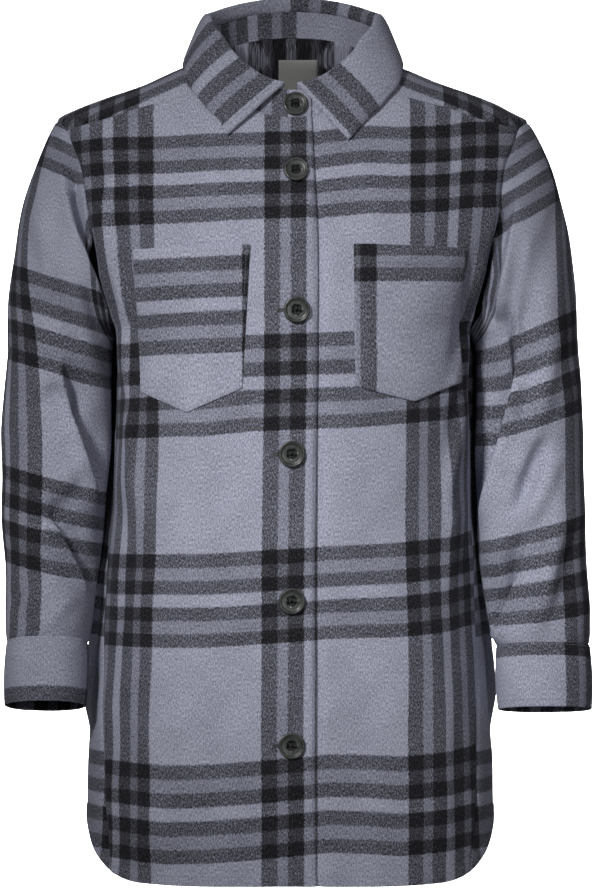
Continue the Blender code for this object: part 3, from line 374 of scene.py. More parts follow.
# Collar: distance from the wearer's right end, and where the warp pattern puts it
COLLAR_LENGTH = 446
COLLAR_WARP = ((0, -8), (8, 0), (98.5, 90.5), (221, 195.7), (298, 286.2), (403, 391.4), (446, 434.4))
FRONT_SLOPE = 0.07
BACK_WARP = 45.3
YOKE_WARP = 47
YOKE_WEFT = 20
YOKE_STRETCH = 1.05
YOKE_BACK_EASE = 0.8  # keeps the weft stripes off the yoke's back
YOKE_LINING_CHECK_AND_SHADE = np.array([0.0, 72.0])  # the yoke's inner layer takes the check from another place, chosen so its dark cross lies inside the neck: real stripes that also serve as painted shade
RIDGE_FROM = 85  # the shoulder line starts this far out, beside the neck
INNER_STRETCH = 0.84  # scale of the warp on the sleeve's inner side
SMOOTH_ROWS = 4  # rows each way over which the sleeve's warp is evened out
CUFF_WARP = {1: 18, -1: 53}
CUFF_WEFT = {1: 210, -1: 135.6}
STAND_WARP = 90.5
STAND_WEFT = 120
COLLAR_WEFT = 92
COLLAR_SLANT = 0.95  # the collar is worn slanting, so its check is a little closer
COLLAR_TRUE = 105  # distance from each front edge over which the check keeps that scale
# Warp start, slope of the weft, height and pattern place of a stripe, and their scale
POCKET_CHECK = {
    "pocket_right": (-47, 0.03, (-255.6, 6.6), 1.0),
    "pocket_left": (-13.5, 0.02, (-193, 6.6), 1.155),
}
POCKET_BELOW = 0.85  # scale of the weft below that stripe

# Fine grids: points for each step of the coarse ones
SAMPLES = 24  # of a curve, between two rows of its table
BODY_STEPS = (8, 5)  # along a column, along a row
YOKE_STEPS = (5, 5)
LOOP_STEP = 8
CAP_STEP = 8
NECK_STEP = 5
RING_GAP = 3.4
STAND_LINES = 11
LEAF_RISE_ROWS = 7
LEAF_FALL_ROWS = 26
POCKET_FINE = 34
POCKET_EXTRA = (0.012, 0.03, 0.97, 0.988, 0.865, 0.875)  # shares beside its edges and its hem
LABEL_FINE = (12, 14)
CUFF_LINES = (0.0, 0.8, 2.5, 5, 6.5, 8, 12, 18, 24, 30, 36, 42, 48, 52, 53.5, 55, 58, 59.4, 60)
HEM_LINES = np.array([0.0, 1.5, 8.5, 10.5])  # mm from the hem
HEM_GAP = 50.0  # between the hem and the row above it
ARC_MIDDLE = 181  # degrees each way from the centre front in the table of lengths
# Where each edge of a grid lies in it
EDGES = {
    "low": (0, slice(None)),
    "high": (-1, slice(None)),
    "first": (slice(None), 0),
    "last": (slice(None), -1),
}
RIM = 0.35  # how far an edge bulges, as a part of the thickness
CLOTH_ANGLE = 60  # edges stay sharp past this one
SOLID_ANGLE = 40
STITCH_ANGLE = 80

# How the pieces lie
HEM_WIDTH = 9.5
HEM_RAISE = 0.7
HEM_THICKER = 1.5  # the hem is thicker by this many times its raise
FACING = 2.0  # how fast a crease fades where the cloth turns to the side
LIP_FACING = 2.5
FULL_LOW = -640  # the back panel's spare cloth: its lower and upper end
FULL_HIGH = -205
FULL_WIDTH = 12.0
FULL_FADES = (60.0, 24.0)  # it comes in over these heights at its lower and upper end
FULL_FRONT = (2.0, 26.0)  # and in depth: where it starts, over how much
FULL_REAR = (110.0, 60.0)
YOKE_FADE = 6  # points from an edge over which its seam's curve still counts
SLEEVE_SQUARE = 0.95  # exponent of the sleeve's rings
SLEEVE_SIDE = 1.4  # how fast the folds come in from the sleeve's sides
LEAVE_OUT = (0.34, 0.52)  # the sleeve leaves the armhole outwards: inner side, outer side
LEAVE_FRONT = 0.30
LEAVE_DOWN = 0.85
SLEEVE_TUCK = (1.6, 0.5)  # depth in TUCK of its edges at the armhole and at the cuff
CUFF_PUFF = 0.6
CUFF_OUT = 0.02
STAND_TUCK = 0.4
LEAF_PUFF = 0.5
LEAF_PUFF_EDGE = (1, 6.0)  # from its outer edge: where it starts to swell, over how much
# Handles of the leaf's curves: shares of the rise and of the roll, then of its fall
LEAF_UP = 0.6
LEAF_OVER = 0.3
LEAF_SHOULDER = 0.9
LEAF_HANG = (0.35, 1.5)
LEAF_CROWD = 1.3  # its rows lie closer together near the roll
POCKET_BASE = 1.9
POCKET_PUFF = 1.2
POCKET_PUFF_EDGE = 0.14  # share of the pocket over which it swells
POCKET_HEM = 0.5
POCKET_HEM_AT = (0.872, 0.01)  # where the folded top starts and over what share

# Fine buttons and stitches
RIM_SIDES = 56
HOLE_ROUND = 14
# Button section: distance in from the rim, height; both as parts of the diameter
BUTTON_SHAPE = (
    (0.05, 0.0), (0.018, 0.008), (0.0, 0.035), (0.0, 0.10), (0.008, 0.125), (0.028, 0.147),
    (0.055, 0.152), (0.082, 0.145), (0.105, 0.125), (0.125, 0.108), (0.15, 0.100), (0.19, 0.0965),
    (0.25, 0.095),
)
BUTTON_FACE = 0.095  # height of its middle, as a part of the diameter
# Button thread: share of the way to a hole, height over the button's face
THREAD_ARCH = ((-1, -1.4), (-0.8, 0.3), (0, 0.55), (0.8, 0.3), (1, -1.4))
THREAD_APART = 0.32
THREAD_RADIUS = 0.33
THREAD_SIDES = 6
HOLE_PAST = 5.0  # the buttonhole reaches this far past the button
HOLE_STITCHES = 44
HOLE_RUN = (-1, 0.4)  # its seen part, in shares of its reach
HOLE_HALF = 0.95  # from its middle to the stitches
HOLE_RAISE = 0.12
HOLE_THREAD = 0.3
HOLE_BAR = 7
STITCH_PITCH = 3.4
STITCH_LENGTH = 2.7
STITCH_RADIUS = 0.2
STITCH_LIFT = 0.05
# Sections of a stitch: share along it, size, height; then its four corners
STITCH_RINGS = ((-0.5, 0.35, -0.4), (-0.25, 1.0, 0.35), (0.25, 1.0, 0.35), (0.5, 0.35, -0.4))
STITCH_CORNERS = ((1, 0), (0, 0.8), (-1, 0), (0, -0.8))
# Lines of stitches: name, piece, edge, distance inside it, columns left out at both ends
STITCHING = (
    ("hem", "front_left", "low", 8.6, 0, 0),
    ("hem", "front_right", "low", 8.6, 0, 0),
    ("hem", "back", "low", 8.6, 0, 0),
    ("yoke", "yoke", "low", 3.2, 0, 0),
    ("placket", "front_right", "last", 4.0, 2, 0),
    ("pocket_left", "pocket_left", "first", 2.4, 1, 0),
    ("pocket_left", "pocket_left", "low", 2.4, 1, 1),
    ("pocket_left", "pocket_left", "last", 2.4, 1, 0),
    ("pocket_left", "pocket_left", "high", 16.5, 1, 1),
    ("pocket_right", "pocket_right", "first", 2.4, 1, 0),
    ("pocket_right", "pocket_right", "low", 2.4, 1, 1),
    ("pocket_right", "pocket_right", "last", 2.4, 1, 0),
    ("pocket_right", "pocket_right", "high", 16.5, 1, 1),
    ("collar", "collar", "low", 5.5, 9, 9),
    ("collar", "collar", "first", 5.5, 1, 12),
    ("collar", "collar", "last", 5.5, 1, 12),
    ("stand", "collar_stand", "low", 2.5, 2, 2),
    ("cuff_left", "cuff_left", "low", 6.0, 1, 1),
    ("cuff_left", "cuff_left", "high", 2.2, 1, 1),
    ("cuff_right", "cuff_right", "low", 6.0, 1, 1),
    ("cuff_right", "cuff_right", "high", 2.2, 1, 1),
)

# Studio, in metres: name, place, target, size, power in watts, spread in degrees
LIGHTS = (
    ("key", (-1.45, -3.0, 1.25), (0.12, 0, -0.43), (0.45, 0.6), 1.52, 19),
    ("fill", (1.0, -3.3, 0.1), (0.10, 0, -0.43), (0.5, 0.8), 0.5, 28),
    ("top", (0.0, -0.2, 2.2), (0, 0, -0.3), (1.6, 1.0), 3, 180),
    ("behind", (0.0, 1.7, 0.8), (0, 0, -0.2), (2.0, 1.4), 1.5, 180),
    ("backdrop", (0.0, 3.0, 1.0), (0, 4.9, -0.45), (0.7, 0.7), 85, 72),
)
AMBIENT = (0.97, 0.98, 1.0, 1)
AMBIENT_STRENGTH = 0.06
FLOOR_Z = -1.38
FLOOR_FRONT = -6.0
FLOOR_SIDE = 7.0
BEND_START = 3.5
BEND_RADIUS = 1.5
BEND_STEPS = 12
BACKDROP_TOP = 6.0

# Camera
PHOTO_HEIGHT = 888
PIXEL = 0.96  # mm of the garment's middle that one pixel shows
CAMERA_AWAY = 3500
CAMERA_X = 2.9
CAMERA_Z = -349.4
SENSOR = 24.0


def slopes(xs, ys):
    """Slopes that let a cubic run through the points without overshooting."""
    steps = [(ys[i + 1] - ys[i]) / (xs[i + 1] - xs[i]) for i in range(len(xs) - 1)]
    inner = [2 * a * b / (a + b) if a * b > 0 else 0.0 for a, b in zip(steps, steps[1:])]
    return [steps[0], *inner, steps[-1]]


def curve(rows, column=1):
    """A smooth function through one column of a table, read by its first column."""
    xs = [row[0] for row in rows]
    ys = [row[column] for row in rows]
    tangents = slopes(xs, ys)
    fine_x = []
    fine_y = []
    for i in range(len(xs) - 1):
        width = xs[i + 1] - xs[i]
        for k in range(SAMPLES):
            t = k / SAMPLES
            start = (1 + 2 * t) * (1 - t) ** 2 * ys[i] + t * (1 - t) ** 2 * width * tangents[i]
            end = t * t * (3 - 2 * t) * ys[i + 1] + t * t * (t - 1) * width * tangents[i + 1]
            fine_x.append(xs[i] + t * width)
            fine_y.append(start + end)
    fine_x.append(xs[-1])
    fine_y.append(ys[-1])
    return lambda x: np.interp(x, fine_x, fine_y)


ring_centre = curve(RINGS, 1)
ring_half = curve(RINGS, 2)
ring_front = curve(RINGS, 3)
ring_back = curve(RINGS, 4)
armhole_x = curve(ARMHOLE)
side_seam = curve(SIDE_SEAM)
neck_height = curve(NECKLINE)
hem_height = curve(HEM)
lap_edge = curve(LAP_EDGE)
stand_lean = curve(STAND_LEAN)
leaf_rise = curve(LEAF_RISE)
leaf_roll = curve(LEAF_ROLL)


def mix(a, b, share):
    return a + (b - a) * share


def bezier(a, b, c, d, share):
    rest = 1 - share
    return a * rest**3 + b * 3 * rest * rest * share + c * 3 * rest * share * share + d * share**3


def run_along(points):
    """Length of cloth from the first point or row to each one."""
    steps = np.linalg.norm(np.diff(points, axis=0), axis=-1)
    return np.concatenate([np.zeros_like(steps[:1]), np.cumsum(steps, axis=0)])


def smooth(share):
    share = np.clip(share, 0.0, 1.0)
    return share * share * (3 - 2 * share)


def unit(v):
    return v / np.maximum(np.linalg.norm(v, axis=-1, keepdims=True), 1e-9)


def vector(x, y, z):
    return np.stack(np.broadcast_arrays(x, y, z), axis=-1).astype(float)


def fold_height(row, x, z):
    """How far one fold moves the cloth out."""
    x0, z0, x1, z1, width, height = row
    run_x, run_z = x1 - x0, z1 - z0
    length = math.hypot(run_x, run_z)
    along = ((x - x0) * run_x + (z - z0) * run_z) / length**2
    across = np.abs((x - x0) * run_z - (z - z0) * run_x) / length
    ends = smooth((along + 0.25) / 0.45) * smooth((1.25 - along) / 0.45)
    return height * ends * np.where(across < width, 0.5 + 0.5 * np.cos(np.pi * across / width), 0.0)


def lip_height(reach, path, x, z):
    """How far one overhanging fold moves the cloth out."""
    heights, places, depths = (np.array(column, float) for column in zip(*path))
    away = np.interp(z, heights, places) - x
    depth = np.interp(z, heights, depths)
    depth = depth * smooth((z - heights[0] + LIP_END / 2) / LIP_END)
    depth = depth * smooth((heights[-1] + LIP_END / 2 - z) / LIP_END)
    hollow = smooth(away / LIP_EDGE) * (1 - smooth((away - LIP_EDGE) / reach))
    swell = np.where(away < 0, 1 - smooth(-away / LIP_BACK), 1 - smooth(away / LIP_EDGE))
    return depth * (LIP_SWELL * swell - hollow)


def folds_at(rows, x, z, front):
    """How far the folds of a table move the cloth out, on its front or its back."""
    total = np.zeros(np.shape(x))
    for where, *row in rows:
        total = total + fold_height(row, x, z) * (front if where == "front" else ~front)
    return total


# The body


def ring_point(turn, z):
    """Point of the body's ring at height z; turn is 0 in front and grows to +X."""
    s = np.sin(turn)
    c = np.cos(turn)
    depth = np.where(c > 0, ring_front(z), ring_back(z))
    x = ring_centre(z) + ring_half(z) * np.copysign(np.abs(s) ** POWER, s)
    return vector(x, -depth * np.copysign(np.abs(c) ** POWER, c), z)


def body(turn, z):
    """The body's surface with its large folds."""
    point = ring_point(turn, z)
    facing = vector(np.sin(turn), -np.cos(turn), 0 * turn)
    fade = smooth(np.abs(np.cos(turn)) / FOLD_FADE)
    push = folds_at(BODY_FOLDS, point[..., 0], z, np.asarray(np.cos(turn) > 0)) * fade
    return point + facing * push[..., None]


def body_normal(turn, z):
    around = body(turn + 0.01, z) - body(turn - 0.01, z)
    up = body(turn, z + 1.0) - body(turn, z - 1.0)
    return unit(np.cross(around, up))


def turn_at(x, z, back=False):
    """Turn of the surface point that lies x from the centre at height z."""
    ratio = (x - ring_centre(z)) / ring_half(z)
    turn = np.arcsin(np.copysign(np.minimum(np.abs(ratio), 1.0) ** (1 / POWER), ratio))
    return np.pi - turn if back else turn


def armhole_turn(z, back=False):
    ratio = min(armhole_x(z) / ring_half(z), 1.0)
    turn = math.asin(ratio ** (1 / POWER))
    return math.pi - turn if back else turn


def folded_turn(turn):
    """Degrees from the centre front, the same on both sides."""
    degrees = np.abs(np.degrees(turn)) % 360
    return np.minimum(degrees, 360 - degrees)


def neck_z(turn):
    return neck_height(folded_turn(turn))


def hem_z(turn):
    return hem_height(folded_turn(turn))


def under_lift(x, z):
    """How far the lower front lies below the upper one at the lap."""
    return -(WALL + LAY) * (1 - smooth((x - lap_edge(z) - 1.5) / LAP_RAMP))


# Spots of the CAD panels as rows of (turn, height, lift)


def yoke_front_spots(side):
    return [(side * turn_at(x, z), z, 0.0) for x, z in YOKE_FRONT]


def front_top(side, neck):
    """Top row of a front: the neckline columns, then the yoke seam."""
    row = []
    for x in neck[:-1]:
        z = -30.0
        for _ in range(12):
            z = neck_z(turn_at(x, z))
        row.append((turn_at(x, z), z, lap_lift(side, x, z)))
    return row + yoke_front_spots(side)


def lap_lift(side, x, z):
    return under_lift(x, z) if side > 0 else 0.0


def lap_columns(side, neck, z):
    """Distances of the first columns at height z, which follow the lap's edge."""
    shift = lap_edge(z) - lap_edge(-44)
    if side > 0:
        return [x + (shift if x > 10 else 0) for x in neck[:5]]
    return [neck[0] + shift, *neck[1:4]]


def row_height(turn, top_z, share):
    """Height of a panel's row: it follows the hem low down and runs level higher up."""
    level = mix(HEM_SIDE, top_z, share)
    return level + (hem_z(turn) - HEM_SIDE) * (1 - share) ** 3


def front_spots(side, neck):
    top = front_top(side, neck)
    rows = [HEM_SIDE] + list(SIDE_ROWS) + list(FRONT_ARM_ROWS)
    fixed = 5 if side > 0 else 4
    spots = []
    for z_side in rows:
        share = (z_side - rows[0]) / (rows[-1] - rows[0])
        if share >= 1:
            spots.append(top)
            continue
        edge_turn = side * (math.radians(side_seam(z_side)) if z_side <= ARMPIT else armhole_turn(z_side))
        row = []
        for j, (top_turn, top_z, _) in enumerate(top):
            spread = (j - fixed + 1) / (len(top) - fixed)
            guess = edge_turn * j / (len(top) - 1)
            z = row_height(guess, top_z, share)
            if j < fixed:
                x = lap_columns(side, neck, z)[j]
                z = row_height(turn_at(x, z), top_z, share)
                row.append((turn_at(x, z), z, lap_lift(side, x, z)))
                continue
            start = turn_at(lap_columns(side, neck, z)[fixed - 1], z)
            top_share = (top_turn - top[fixed - 1][0]) / (top[-1][0] - top[fixed - 1][0])
            turn = mix(start, edge_turn, mix(spread, top_share, smooth(share)))
            if j == len(top) - 1:
                turn = edge_turn
                z = z_side
            else:
                z = row_height(turn, top_z, share)
            row.append((turn, z, lap_lift(side, ring_point(turn, z)[0], z)))
        spots.append(row)
    return spots


def back_spots():
    rows = [HEM_SIDE] + list(SIDE_ROWS) + list(BACK_ARM_ROWS)
    spots = []
    for z_side in rows:
        share = (z_side - rows[0]) / (rows[-1] - rows[0])
        start = math.radians(side_seam(z_side)) if z_side <= ARMPIT else armhole_turn(z_side, True)
        row = []
        for j in range(BACK_COLUMNS + 1):
            turn = mix(start, 2 * math.pi - start, j / BACK_COLUMNS)
            z = row_height(turn, YOKE_BACK, share)
            if j in (0, BACK_COLUMNS):
                z = z_side
            row.append((turn, z, 0.0))
        spots.append(row)
    return spots


def yoke_outer():
    """Outer boundary: over one armhole, along the back seam, over the other."""
    arm = [(armhole_turn(z, i > YOKE_ARM_TOP), z) for i, z in enumerate(YOKE_ARM_ROWS)]
    back = [(turn, z) for turn, z, _ in back_spots()[-1]]
    other = [(2 * math.pi - turn, z) for turn, z in reversed(arm)]
    return arm[:-1] + back + other[1:]


def yoke_inner():
    """Neckline of the yoke, with a column for each one of its outer boundary."""
    corner = turn_at(*YOKE_FRONT[0])
    end = math.radians(SIDE_SPAN_TURN)
    arm = len(YOKE_ARM_ROWS) - 1
    first = [mix(corner, end, (k / arm) ** 1.25) for k in range(arm)]
    middle = [mix(end, 2 * math.pi - end, k / BACK_COLUMNS) for k in range(BACK_COLUMNS + 1)]
    last = [2 * math.pi - turn for turn in reversed(first)]
    turns = first + middle + last
    spots = [(turn, neck_z(turn)) for turn in turns]
    spots[0] = (corner, YOKE_FRONT[0][1])
    spots[-1] = (2 * math.pi - corner, YOKE_FRONT[0][1])
    return spots


def yoke_spots():
    inner = yoke_inner()
    outer = yoke_outer()
    seam = [(turn, z) for turn, z, _ in yoke_front_spots(1)]
    rows = []
    steps = len(seam) - 1
    for i, (seam_turn, seam_z) in enumerate(seam):
        share = i / steps
        row = []
        for j, ((t0, z0), (t1, z1)) in enumerate(zip(inner, outer)):
            near = max(0.0, 1 - j / YOKE_FADE) - max(0.0, 1 - (len(inner) - 1 - j) / YOKE_FADE)
            straight_turn = mix(seam[0][0], seam[-1][0], share)
            straight_z = mix(seam[0][1], seam[-1][1], share)
            turn = mix(t0, t1, share) + near * (seam_turn - straight_turn)
            z = mix(z0, z1, share) + abs(near) * (seam_z - straight_z)
            row.append((turn, z, 0.0))
        rows.append(row)
    rows.reverse()
    return rows


def neck_spots():
    """The whole neckline from the lower front's edge round to the upper front's."""
    under = front_top(1, UNDER_NECK)[: len(UNDER_NECK) - 1]
    over = front_top(-1, OVER_NECK)[: len(OVER_NECK) - 1]
    middle = [(turn, z, 0.0) for turn, z in yoke_inner()]
    over_turned = [(turn + 2 * math.pi, z, lift) for turn, z, lift in reversed(over)]
    return under + middle + over_turned


# Finer grids


def spread(values, step, closed=False, near_start=0):
    """Points on a smooth line through values, step for each gap; near_start adds some at the first."""
    count = len(values)
    if closed:
        padded = np.concatenate([values[-1:], values, values[:2]])
        places = np.arange(count * step) / step
    else:
        first = 2 * values[:1] - values[1:2]
        last = 2 * values[-1:] - values[-2:-1]
        padded = np.concatenate([first, values, last, last])
        places = np.arange((count - 1) * step + 1) / step
        if near_start:
            extra = HEM_LINES[1:] / near_start
            places = np.unique(np.concatenate([places, extra]))
    whole = np.minimum(places.astype(int), count - (1 if closed else 2))
    t = (places - whole).reshape((-1,) + (1,) * (values.ndim - 1))
    a, b, c, d = (padded[whole + k] for k in range(4))
    return 0.5 * (2 * b + (c - a) * t + (2 * a - 5 * b + 4 * c - d) * t**2 + (3 * b - a - 3 * c + d) * t**3)


def spread_parts(values, step, breaks=(), near_start=0):
    """The same with corners kept at the breaks."""
    edges = [0, *breaks, len(values) - 1]
    parts = []
    for k, (a, b) in enumerate(zip(edges, edges[1:])):
        part = spread(values[a : b + 1], step, near_start=near_start if k == 0 else 0)
        parts.append(part if k == 0 else part[1:])
    return np.concatenate(parts)


def refined(spots, steps, row_breaks=(), column_breaks=(), hem=0):
    """A coarse grid of spots made fine."""
    row_step, column_step = steps
    values = np.array(spots, float)
    values = spread_parts(values, row_step, row_breaks, near_start=hem)
    return spread_parts(values.swapaxes(0, 1), column_step, column_breaks).swapaxes(0, 1)


def grid_normals(points, tube=False):
    """Normals of a grid; rows go up and columns go to the wearer's left seen from outside."""
    up = np.gradient(points, axis=0)
    if tube:
        across = (np.roll(points, -1, axis=1) - np.roll(points, 1, axis=1)) / 2
    else:
        across = np.gradient(points, axis=1)
    return unit(np.cross(across, up))


def creased(points, normals, part):
    """The grid with the finer creases of its part and the slow waves."""
    x = np.abs(points[..., 0]) if part in LIPS else points[..., 0]
    z = points[..., 2]
    push = np.zeros(x.shape)
    for side, facing in (("front", -FACING), ("back", FACING)):
        for row in CREASES.get((part, side), ()):
            push += fold_height(row, x, z) * smooth(normals[..., 1] * facing)
    for reach, path in LIPS.get(part, ()):
        push += lip_height(reach, path, x, z) * smooth(normals[..., 1] * -LIP_FACING)
    for way, length, phase, height in WAVES:
        way = np.array(way) / np.linalg.norm(way)
        push += height * np.sin(points @ way * 2 * np.pi / length + phase)
    return points + normals * push[..., None]


def tucked(points, normals, edges, depth=TUCK):
    """The grid with some edges sunk into their seams."""
    points = points.copy()
    for edge in edges:
        points[EDGES[edge]] -= normals[EDGES[edge]] * depth
    return points


def shell(name, outer, normals, uv, thickness=CLOTH, tube=False, inner_uv=None, material="cloth"):
    """A thin closed shell with rounded edges; thickness may differ from point to point."""
    rows, columns = outer.shape[:2]
    shift = rows * columns
    thick = np.broadcast_to(np.asarray(thickness, float), (rows, columns))[..., None]
    inner = outer - normals * thick
    points = np.concatenate([outer.reshape(-1, 3), inner.reshape(-1, 3)])
    inner_uv = uv if inner_uv is None else inner_uv
    texture = np.concatenate([uv.reshape(-1, 2), inner_uv.reshape(-1, 2)])
    index = np.arange(shift).reshape(rows, columns)
    if tube:
        index = np.concatenate([index, index[:, :1]], axis=1)
    corners = [index[:-1, :-1], index[:-1, 1:], index[1:, 1:], index[1:, :-1]]
    front = np.stack(corners, axis=-1).reshape(-1, 4)
    faces = [front, front[:, ::-1] + shift]
    for loop in [index[0][::-1], index[-1]] if tube else [rim_loop(index)]:
        spots = loop[:-1]
        middle = (points[spots] + points[spots + shift]) / 2
        push = rim_push(points[spots], points[spots + shift])
        here = np.arange(len(spots))
        then = (here + 1) % len(spots)
        rim = len(points)
        points = np.concatenate([points, middle + push * (RIM * thick.mean())])
        texture = np.concatenate([texture, texture[spots]])
        near, far = spots[here], spots[then]
        faces.append(np.stack([far, near, rim + here, rim + then], axis=-1))
        faces.append(np.stack([rim + then, rim + here, near + shift, far + shift], axis=-1))
    return cloth_mesh(name, points, np.concatenate(faces), texture, material)


def rim_loop(index):
    """The boundary of a grid, once round."""
    return np.concatenate([index[0, :-1], index[:-1, -1], index[-1, :0:-1], index[::-1, 0]])


def rim_push(top, low):
    """Directions out of the cloth's edge, square to the edge and to the cloth."""
    along = np.roll(top, -1, axis=0) - np.roll(top, 1, axis=0)
    return unit(np.cross(along, top - low))


def plain_mesh(name, points, faces, material, angle=SOLID_ANGLE):
    """A smooth object with sharp edges past an angle, from points in millimetres."""
    mesh = bpy.data.meshes.new(name)
    mesh.from_pydata((points * MM).tolist(), [], [list(face) for face in faces])
    mesh.materials.append(materials[material])
    mesh.update()
    mesh.shade_smooth()
    mesh.set_sharp_from_angle(angle=math.radians(angle))
    piece = bpy.data.objects.new(name, mesh)
    bpy.context.scene.collection.objects.link(piece)
    return piece


def cloth_mesh(name, points, faces, texture, material):
    """The same for cloth, with its place along both yarns at each point."""
    piece = plain_mesh(f"{name}_cloth", points, faces.tolist(), material, CLOTH_ANGLE)
    mesh = piece.data
    layer = mesh.uv_layers.new(name="Cloth")
    loops = np.empty(len(mesh.loops), dtype=np.int32)
    mesh.loops.foreach_get("vertex_index", loops)
    layer.data.foreach_set("uv", (texture[loops] * MM).astype(np.float32).ravel())
    return piece


# Places on the cloth


def arc_table():
    """Length round each ring from the centre front, for every degree either way."""
    turns = np.radians(np.arange(-ARC_MIDDLE, ARC_MIDDLE + 1))
    heights = np.arange(-810, 66, 6.0)
    table = []
    for z in heights:
        run = run_along(ring_point(turns, np.full(len(turns), z)))
        table.append(run - run[ARC_MIDDLE])
    return heights, np.array(table)


ARC_HEIGHTS, ARCS = arc_table()


def arc_at(turn, z):
    """Length round the ring from the centre front to a turn."""
    row = np.clip((z - ARC_HEIGHTS[0]) / (ARC_HEIGHTS[1] - ARC_HEIGHTS[0]), 0, len(ARC_HEIGHTS) - 1.001)
    column = np.clip(np.degrees(turn) + ARC_MIDDLE, 0, ARCS.shape[1] - 1.001)
    i = row.astype(int)
    j = column.astype(int)
    s = row - i
    t = column - j
    low = ARCS[i, j] * (1 - t) + ARCS[i, j + 1] * t
    high = ARCS[i + 1, j] * (1 - t) + ARCS[i + 1, j + 1] * t
    return low * (1 - s) + high * s


def front_weft(x, z):
    xs, ys = zip(*FRONT_WEFT)
    return np.interp(z - FRONT_SLOPE * x + drift(x, z), xs, ys)


def drift(x, z):
    """How far the front's weft sags under its straight slope."""
    heights = [row[0] for row in DRIFT]
    lines = np.array([np.interp(x, DRIFT_AT, row[1:]) for row in DRIFT])
    place = np.interp(z, heights, range(len(heights)))
    low = np.minimum(place.astype(int), len(heights) - 2)
    share = place - low
    below = np.take_along_axis(lines, low[None], 0)[0]
    above = np.take_along_axis(lines, low[None] + 1, 0)[0]
    return below * (1 - share) + above * share


# Panels of the body


def panel_grid(spots, part):
    """Points and normals of a body panel with its creases."""
    turn, z, lift = (spots[..., k] for k in range(3))
    base = body(turn, z)
    base = base + body_normal(turn, z) * lift[..., None]
    normals = grid_normals(base)
    points = creased(base, normals, part)
    return points, grid_normals(points)


def hem_band(points):
    """1 on the turned-up hem, 0 above it."""
    return smooth((HEM_WIDTH + 1.0 - run_along(points)) / 2.0)


def make_panel(name, spots, uv, part, sunk):
    points, normals = panel_grid(spots, part)
    points = tucked(points, normals, sunk)
    if part == "back":
        points = side_fullness(points)
        normals = grid_normals(points)
    thickness = CLOTH
    # the yoke's inside shows the check's dark cross, which stands in for the shade inside the neck as well
    # as real stripes
    inner_uv = uv + YOKE_LINING_CHECK_AND_SHADE
    if part != "yoke":
        raise_by = hem_band(points) * HEM_RAISE
        points = points + normals * raise_by[..., None]
        thickness = CLOTH + raise_by * HEM_THICKER
        inner_uv = uv
    piece = shell(name, points, normals, uv, thickness, inner_uv=inner_uv)
    declare(piece, name)
    return points, normals


def declare(piece, node):
    """Hangs the piece on the root body and hides its CAD solid."""
    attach(piece, "root")
    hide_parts(node)


def make_front(side):
    neck = UNDER_NECK if side > 0 else OVER_NECK
    coarse = front_spots(side, neck)
    spots = refined(coarse, BODY_STEPS, (len(SIDE_ROWS),), (len(neck) - 1,), hem=HEM_GAP)
    if side < 0:
        spots = spots[:, ::-1]
    turn, z = spots[..., 0], spots[..., 1]
    x = ring_point(turn, z)[..., 0]
    uv = np.stack([arc_at(turn, z) - FRONT_WARP[side], front_weft(x, z)], axis=-1)
    sunk = ["last" if side > 0 else "first"]
    return make_panel(f"front_{WORDS[side]}", spots, uv, "front", sunk)


def side_fullness(points):
    """The back panel's spare cloth, which stands out behind the sleeves."""
    x, y, z = (points[..., k] for k in range(3))
    low_fade, high_fade = FULL_FADES
    high = smooth((z - FULL_LOW) / low_fade) * smooth((FULL_HIGH - z) / high_fade)
    deep = smooth((y + FULL_FRONT[0]) / FULL_FRONT[1]) * smooth((FULL_REAR[0] - y) / FULL_REAR[1])
    push = np.copysign(FULL_WIDTH * high * deep, x)
    return points + vector(push, 0 * x, 0 * x)


def make_back():
    spots = refined(back_spots(), BODY_STEPS, (len(SIDE_ROWS),), hem=HEM_GAP)
    turn, z = spots[..., 0], spots[..., 1]
    across = arc_at(np.minimum(turn, 2 * np.pi - turn), z)
    centre = arc_at(np.full(turn.shape, np.pi), z)
    u = np.where(turn > np.pi, centre - across, across - centre)
    uv = np.stack([BACK_WARP - u, front_weft(0 * z, z)], axis=-1)
    return make_panel("back", spots, uv, "back", ["first", "last", "high"])


def make_yoke():
    arm = len(YOKE_ARM_ROWS) - 1
    spots = refined(yoke_spots(), YOKE_STEPS, (), (arm, arm + BACK_COLUMNS))
    points, _ = panel_grid(spots, "yoke")
    x, y, z = (points[..., k] for k in range(3))
    ridge = ring_ridge(np.maximum(np.abs(x), RIDGE_FROM))
    over = np.copysign(np.hypot(y, z - ridge), -y)
    over = np.where(over < 0, over * YOKE_BACK_EASE, over)
    slant = np.abs(x) * YOKE_STRETCH
    uv = np.stack([np.copysign(slant, x) + YOKE_WARP, over + YOKE_WEFT], axis=-1)
    return make_panel("yoke", spots, uv, "yoke", ["low"])


def ring_ridge(x):
    """Height of the shoulder line at a distance from the centre."""
    rows = [row for row in RINGS if row[0] >= YOKE_ARM_ROWS[YOKE_ARM_TOP]]
    halves = np.array([row[2] for row in rows])
    heights = np.array([row[0] for row in rows])
    return np.interp(x, halves[::-1], heights[::-1])


# Sleeves and cuffs


SLEEVE_CURVES = {
    side: tuple(curve(tuple(reversed(rows)), column) for column in range(1, 6))
    for side, rows in SLEEVE_RINGS.items()
}


def sleeve_push(side, angle, x, z):
    """How far the sleeve's large folds move it out."""
    rows = [row[1:] for row in SLEEVE_FOLDS if row[0] == side]
    s = np.sin(angle)
    return folds_at(rows, x, z, np.asarray(s > 0)) * np.minimum(1.0, np.abs(s) * SLEEVE_SIDE)


